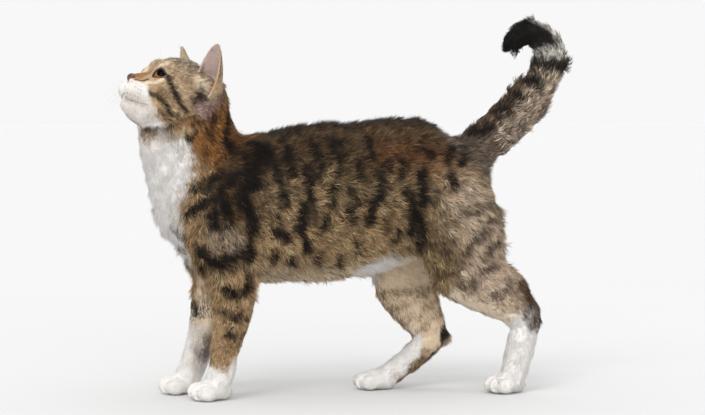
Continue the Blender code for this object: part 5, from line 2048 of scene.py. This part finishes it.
@dataclass(frozen=True)
class NoseShape:
    """The bare pad of the nose, in the head's axes. A mesh is given as faces round and faces up."""

    centre: Point = (-46.2, 0.0, -9.4)
    half: Point = (4.2, 6.6, 4.4)
    tilt: float = 14.0
    pad_mesh: tuple[int, int] = (48, 32)
    narrow: float = 0.42
    narrow_power: float = 1.5
    groove: float = 0.7
    groove_half: float = 0.8
    groove_top: float = 1.0
    hole_mesh: tuple[int, int] = (24, 16)
    nostril: Point = (-50.2, 3.1, -10.6)
    nostril_half: Point = (2.6, 1.6, 1.3)
    nostril_turn: float = -20.0
    slit: Point = (-48.6, 5.6, -11.4)
    slit_half: Point = (2.6, 0.6, 0.8)
    slit_turn: float = -40.0


NOSE_SHAPE = NoseShape()


@dataclass(frozen=True)
class WhiskerForm:
    """How a whisker is shaped and drawn."""

    seed: int = 41
    points: int = 12
    radius: float = 0.17
    taper: float = 0.85
    sunk: float = 0.6
    droop_way: Point = (0.25, 0.0, -1.0)
    uneven: float = 3.0
    lip_length: float = 30.0
    lip_droop: float = 5.0
    brow_count: int = 3
    brow_length: float = 16.0
    brow_droop: float = 4.0


@dataclass
class Face:
    """The bare and glossy pieces of the face: eyes, lids, nose, lips and whiskers."""

    place: Place
    skin: Skin
    hair: WhiskerForm = WhiskerForm()
    gaze_left: tuple[float, float] = (-47.0, 19.0)
    gaze_right: tuple[float, float] = (12.0, 14.0)
    ball_mesh: tuple[int, int] = (64, 40)
    cornea: float = 0.02
    cornea_from: float = 0.5
    back_away: float = 3.0
    lid_radius: float = 0.85
    lid_lift: float = 0.75
    lid_points: int = 48
    lid_heaviest: float = 60.0
    lid_uneven: float = 0.5
    lip_radius: float = 0.22
    lip_lift: float = 0.15
    lip_taper: float = 0.6
    lip_steps: int = 4
    cleft_width: float = 0.7
    cleft_lift: float = 0.1
    cleft_steps: int = 3
    mouth: tuple[Point, ...] = (
        (-46, 0, -26.5), (-46, 3.4, -30), (-43.5, 8, -32), (-37, 13, -31.5), (-30, 17.5, -29),
        (-24, 20.5, -26.5),
    )
    philtrum: tuple[Point, ...] = ((-51, 0, -15), (-50.5, 0, -18), (-49, 0, -23), (-47, 0, -27))

    def build(self) -> None:
        """Make every piece of the face."""
        skin_mesh = self.skin.piece.data
        vertices = [vertex.co.copy() for vertex in skin_mesh.vertices]
        self.tree = BVHTree.FromPolygons(vertices, [tuple(p.vertices) for p in skin_mesh.polygons])
        self.matrix = self.place.head_matrix()
        self.rim = MoistLeather("dark lid skin", Tone.RIM, Tone.INK, 0.3).material()
        eye_finish = WetEye().material()
        for side, gaze in ((Side.LEFT, self.gaze_left), (Side.RIGHT, self.gaze_right)):
            self.eye(side, gaze, eye_finish)
            self.lids(side)
        self.nose()
        self.lips()
        self.whiskers()

    def eye(self, side: Side, gaze: tuple[float, float], finish: bpy.types.Material) -> None:
        """Make one eyeball with its cornea's bulge and keep how each point lies about the line of sight.

        Args:
            side: the eye.
            gaze: the line of sight, turned sideways and lifted, in degrees.
            finish: the eye's finish.
        """
        ball = add_ball(f"eyeball_{side.word()}", *self.ball_mesh, EYE.radius)
        aim = direction(*gaze).to_track_quat("Z", "Y").to_matrix().to_4x4()
        ball.matrix_world = self.matrix @ Matrix.Translation(EYE.middle(side)) @ aim
        points = positions(ball.data)
        height = points[:, 2] / EYE.radius
        points *= (1 + self.cornea * smooth(self.cornea_from, 1.0, height))[:, None]
        reshape(ball.data, points)
        layer = ball.data.attributes.new(SIGHT, "FLOAT_VECTOR", "POINT")
        lean = np.where(height > 0, 1.0, self.back_away)[:, None]
        flat = points * (1, 1, 0) / EYE.radius * lean
        layer.data.foreach_set("vector", flat.astype(np.float32).ravel())
        ball.data.shade_smooth()
        settle(ball)
        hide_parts(f"eye_{side.word()}")
        dress(ball, finish)

    def tube(
        self, name: str, points: Array, radii: list[float], closed: bool = False
    ) -> bpy.types.Object:
        """Draw a round tube along points in the head's axes.

        Args:
            name: the piece's name.
            points: the middle line.
            radii: the radius at each point.
            closed: whether the ends meet.

        Returns:
            The tube as a mesh in the model's place.
        """
        curve = bpy.data.curves.new(name, "CURVE")
        curve.dimensions = "3D"
        curve.bevel_depth = 1.0
        curve.bevel_resolution = 2
        curve.use_fill_caps = not closed
        spline = curve.splines.new("POLY")
        spline.points.add(len(points) - 1)
        for knot, point, radius in zip(spline.points, points, radii):
            knot.co = (*point, 1)
            knot.radius = radius
        spline.use_cyclic_u = closed
        obj = bpy.data.objects.new(name, curve)
        bpy.context.collection.objects.link(obj)
        choose(obj)
        bpy.ops.object.convert(target="MESH")
        obj = bpy.context.object
        obj.matrix_world = self.matrix
        settle(obj)
        face_outward(obj)
        obj.data.shade_smooth()
        return obj

    def lids(self, side: Side) -> None:
        """Make the dark rim of one eye's lids.

        Args:
            side: the eye.
        """
        outline = EYE.outline(side, EYE.radius + self.lid_lift, 1.0, self.lid_points)
        turns = np.linspace(0, math.tau, self.lid_points, endpoint=False)
        heavier = np.cos(turns - math.radians(self.lid_heaviest))
        radii = list(self.lid_radius * (1 + self.lid_uneven * heavier))
        dress(self.tube(f"lid_rim_{side.word()}", outline, radii, True), self.rim)

    def on_skin(self, point: Array, lift: float) -> Array:
        """The place on the skin nearest a point in the head's axes, lifted off it a little."""
        near, normal, _, _ = self.tree.find_nearest(self.matrix @ Vector(point))
        return np.array(self.matrix.inverted() @ (near + normal * lift * MM))

    def nose(self) -> None:
        """Make the nose pad, narrow below and grooved in the middle, with its nostrils."""
        shape = NOSE_SHAPE
        pad = add_ball("nose_pad", *shape.pad_mesh)
        tilt = Matrix.Rotation(math.radians(shape.tilt), 4, "Y")
        pad.matrix_world = Matrix.Translation(shape.centre) @ tilt @ Matrix.Diagonal((*shape.half, 1))
        settle(pad)
        points = positions(pad.data)
        low = np.clip((shape.centre[2] - points[:, 2]) / shape.half[2], 0, 1)
        points[:, 1] *= 1 - shape.narrow * low**shape.narrow_power
        groove = shape.groove * np.exp(-((points[:, 1] / shape.groove_half) ** 2))
        points[:, 0] += groove * (points[:, 2] < shape.centre[2] + shape.groove_top)
        reshape(pad.data, points)
        holes = (
            (shape.nostril, shape.nostril_half, shape.nostril_turn),
            (shape.slit, shape.slit_half, shape.slit_turn),
        )
        for side in Side:
            for centre, half, turn in holes:
                hole = add_ball("nostril", *shape.hole_mesh)
                lean = Matrix.Rotation(math.radians(turn * side.value), 4, "X")
                middle = Matrix.Translation(on_side(centre, side))
                hole.matrix_world = middle @ lean @ Matrix.Diagonal((*half, 1))
                settle(hole)
                finish_with(pad, "BOOLEAN", operation="DIFFERENCE", solver="EXACT", object=hole)
                bpy.data.objects.remove(hole)
        pad.matrix_world = self.matrix
        settle(pad)
        pad.data.shade_smooth()
        leather = MoistLeather("nose leather", Tone.LEATHER, Tone.LEATHER_EDGE, 0.42)
        dress(pad, leather.material())

    def lips(self) -> None:
        """Make the dark line between the lips and the cleft under the nose."""
        lips = MoistLeather("lip skin", Tone.LEATHER_EDGE, Tone.RIM, 0.4).material()
        for side in Side:
            line = refine(on_side(self.mouth, side), self.lip_steps)
            seated = np.array([self.on_skin(point, self.lip_lift) for point in line])
            radii = [self.lip_radius * (1 - self.lip_taper * k / len(line)) for k in range(len(line))]
            dress(self.tube(f"lip_line_{side.word()}", seated, radii), lips)
        line = refine(np.array(self.philtrum, float), self.cleft_steps)
        seated = np.array([self.on_skin(point, self.cleft_lift) for point in line])
        dress(self.tube("lip_cleft", seated, [self.lip_radius * self.cleft_width] * len(line)), lips)

    def whiskers(self) -> None:
        """Make the whiskers of the lip and the brow, each a tapered bent hair."""
        hair = self.hair
        horn = WhiskerHorn().material()
        draw = np.random.default_rng(hair.seed)
        for side in Side:
            hairs = []
            for (x, y, z), row, place in WHISKER_ROOTS:
                # Hairs further back point less forward, and lower rows point and droop lower.
                way = (-0.28 + 0.1 * place, 0.92, 0.12 - 0.2 * row)
                length = hair.lip_length - 2 * row - place + draw.uniform(-hair.uneven, hair.uneven)
                hairs.append(((x, -y, z), way, length, hair.lip_droop + 1.5 * row))
            for place in range(hair.brow_count):
                # The brow's hairs stand side by side over the eye and fan outwards.
                root = (-29 + 3 * place, 11 + 3 * place, 14.0)
                way = (-0.45, 0.3 + 0.25 * place, 0.85)
                length = hair.brow_length + draw.uniform(-hair.uneven, hair.uneven)
                hairs.append((root, way, length, hair.brow_droop))
            tubes = []
            for number, (root, way, length, droop) in enumerate(hairs):
                name = f"whisker_{side.word()}_{number}"
                tubes.append(self.whisker(name, side, root, way, length, droop))
            joined = join(tubes)
            joined.name = f"whiskers_{side.word()}"
            dress(joined, horn)

    def whisker(
        self, name: str, side: Side, root: Point, way: Point, length: float, droop: float
    ) -> bpy.types.Object:
        """Make one whisker.

        Args:
            name: the whisker's name.
            side: the side it stands on.
            root: its root on the right side, in the head's axes.
            way: the way it starts there.
            length: its length.
            droop: how far its tip droops.

        Returns:
            The whisker as a mesh.
        """
        hair = self.hair
        start = self.on_skin(on_side(root, side), -hair.sunk)
        along = unit(on_side(way, side))
        shares = np.linspace(0, 1, hair.points)
        line = [start + along * length * s + np.array(hair.droop_way) * droop * s**2 for s in shares]
        radii = [hair.radius * (1 - hair.taper * share) for share in shares]
        return self.tube(name, np.array(line), radii)


@dataclass(frozen=True)
class Sun:
    """A soft light from far off: the way to it, how wide it is in degrees, and its strength."""

    name: str
    way: Point
    spread: float
    strength: float


@dataclass
class Studio:
    """The pale floor, the soft lights and the camera at the photograph's angle."""

    place: Place
    target: Point = (0.0, 0.0, 186.0)
    distance: float = 2200.0
    azimuth: float = -12.0
    camera_height: float = 104.0
    image_width: int = 705
    sensor_mm: float = 36.0
    sight_m: float = 100.0
    floor_m: float = 60.0
    backdrop: str = "#F8F8F8"
    suns: tuple[Sun, ...] = (
        Sun("key", (-0.5, -0.75, 0.9), 24, 0.8),
        Sun("top", (0.25, 0.1, 1.0), 60, 0.25),
        Sun("fill", (-0.1, -1.0, 0.05), 60, 1.6),
        Sun("catchlight", (-0.17, -0.28, 0.95), 3, 0.15),
    )

    def build(self) -> None:
        """Set the camera, the floor, the lights and the pale surround."""
        self.camera()
        self.floor()
        for sun in self.suns:
            self.light(sun)
        world = bpy.data.worlds.new("studio")
        world.use_nodes = True
        background = world.node_tree.nodes["Background"]
        background.inputs["Color"].default_value = (*linear(self.backdrop), 1)
        background.inputs["Strength"].default_value = 1.0
        bpy.context.scene.world = world
        bpy.context.scene.view_settings.view_transform = "Standard"

    def camera(self) -> None:
        """Place the camera."""
        turn = math.radians(self.azimuth)
        rise = math.asin(self.camera_height / self.distance)
        way = np.array((math.sin(turn) * math.cos(rise), -math.cos(turn) * math.cos(rise), math.sin(rise)))
        data = bpy.data.cameras.new("camera")
        data.sensor_width = self.sensor_mm
        data.lens = self.distance * self.sensor_mm / self.image_width
        data.clip_end = self.sight_m
        camera = bpy.data.objects.new("camera", data)
        bpy.context.collection.objects.link(camera)
        camera.location = self.place.model(np.array(self.target) + way * self.distance)
        camera.rotation_euler = Vector(-way).to_track_quat("-Z", "Y").to_euler()
        bpy.context.scene.camera = camera

    def floor(self) -> None:
        """Lay the floor."""
        deselect()
        bpy.ops.mesh.primitive_plane_add(size=self.floor_m)
        floor = bpy.context.object
        floor.name = "floor"
        floor.data.materials.append(StudioPaper().material())

    def light(self, sun: Sun) -> None:
        """Light the set evenly from one side.

        Args:
            sun: the light.
        """
        data = bpy.data.lights.new(sun.name, "SUN")
        data.angle = math.radians(sun.spread)
        data.energy = sun.strength
        light = bpy.data.objects.new(sun.name, data)
        bpy.context.collection.objects.link(light)
        light.rotation_euler = Vector(sun.way).to_track_quat("Z", "Y").to_euler()


def main() -> None:
    """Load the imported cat, dress it and set the studio round it."""
    logging.basicConfig(level=logging.INFO, format="%(message)s")
    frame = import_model()
    place = Place()
    Studio(place).build()
    markings = Markings()
    skin = Skin(place, markings)
    skin.build(frame)
    Coat(place, markings, skin).build()
    Face(place, skin).build()


if __name__ == "__main__":
    main()
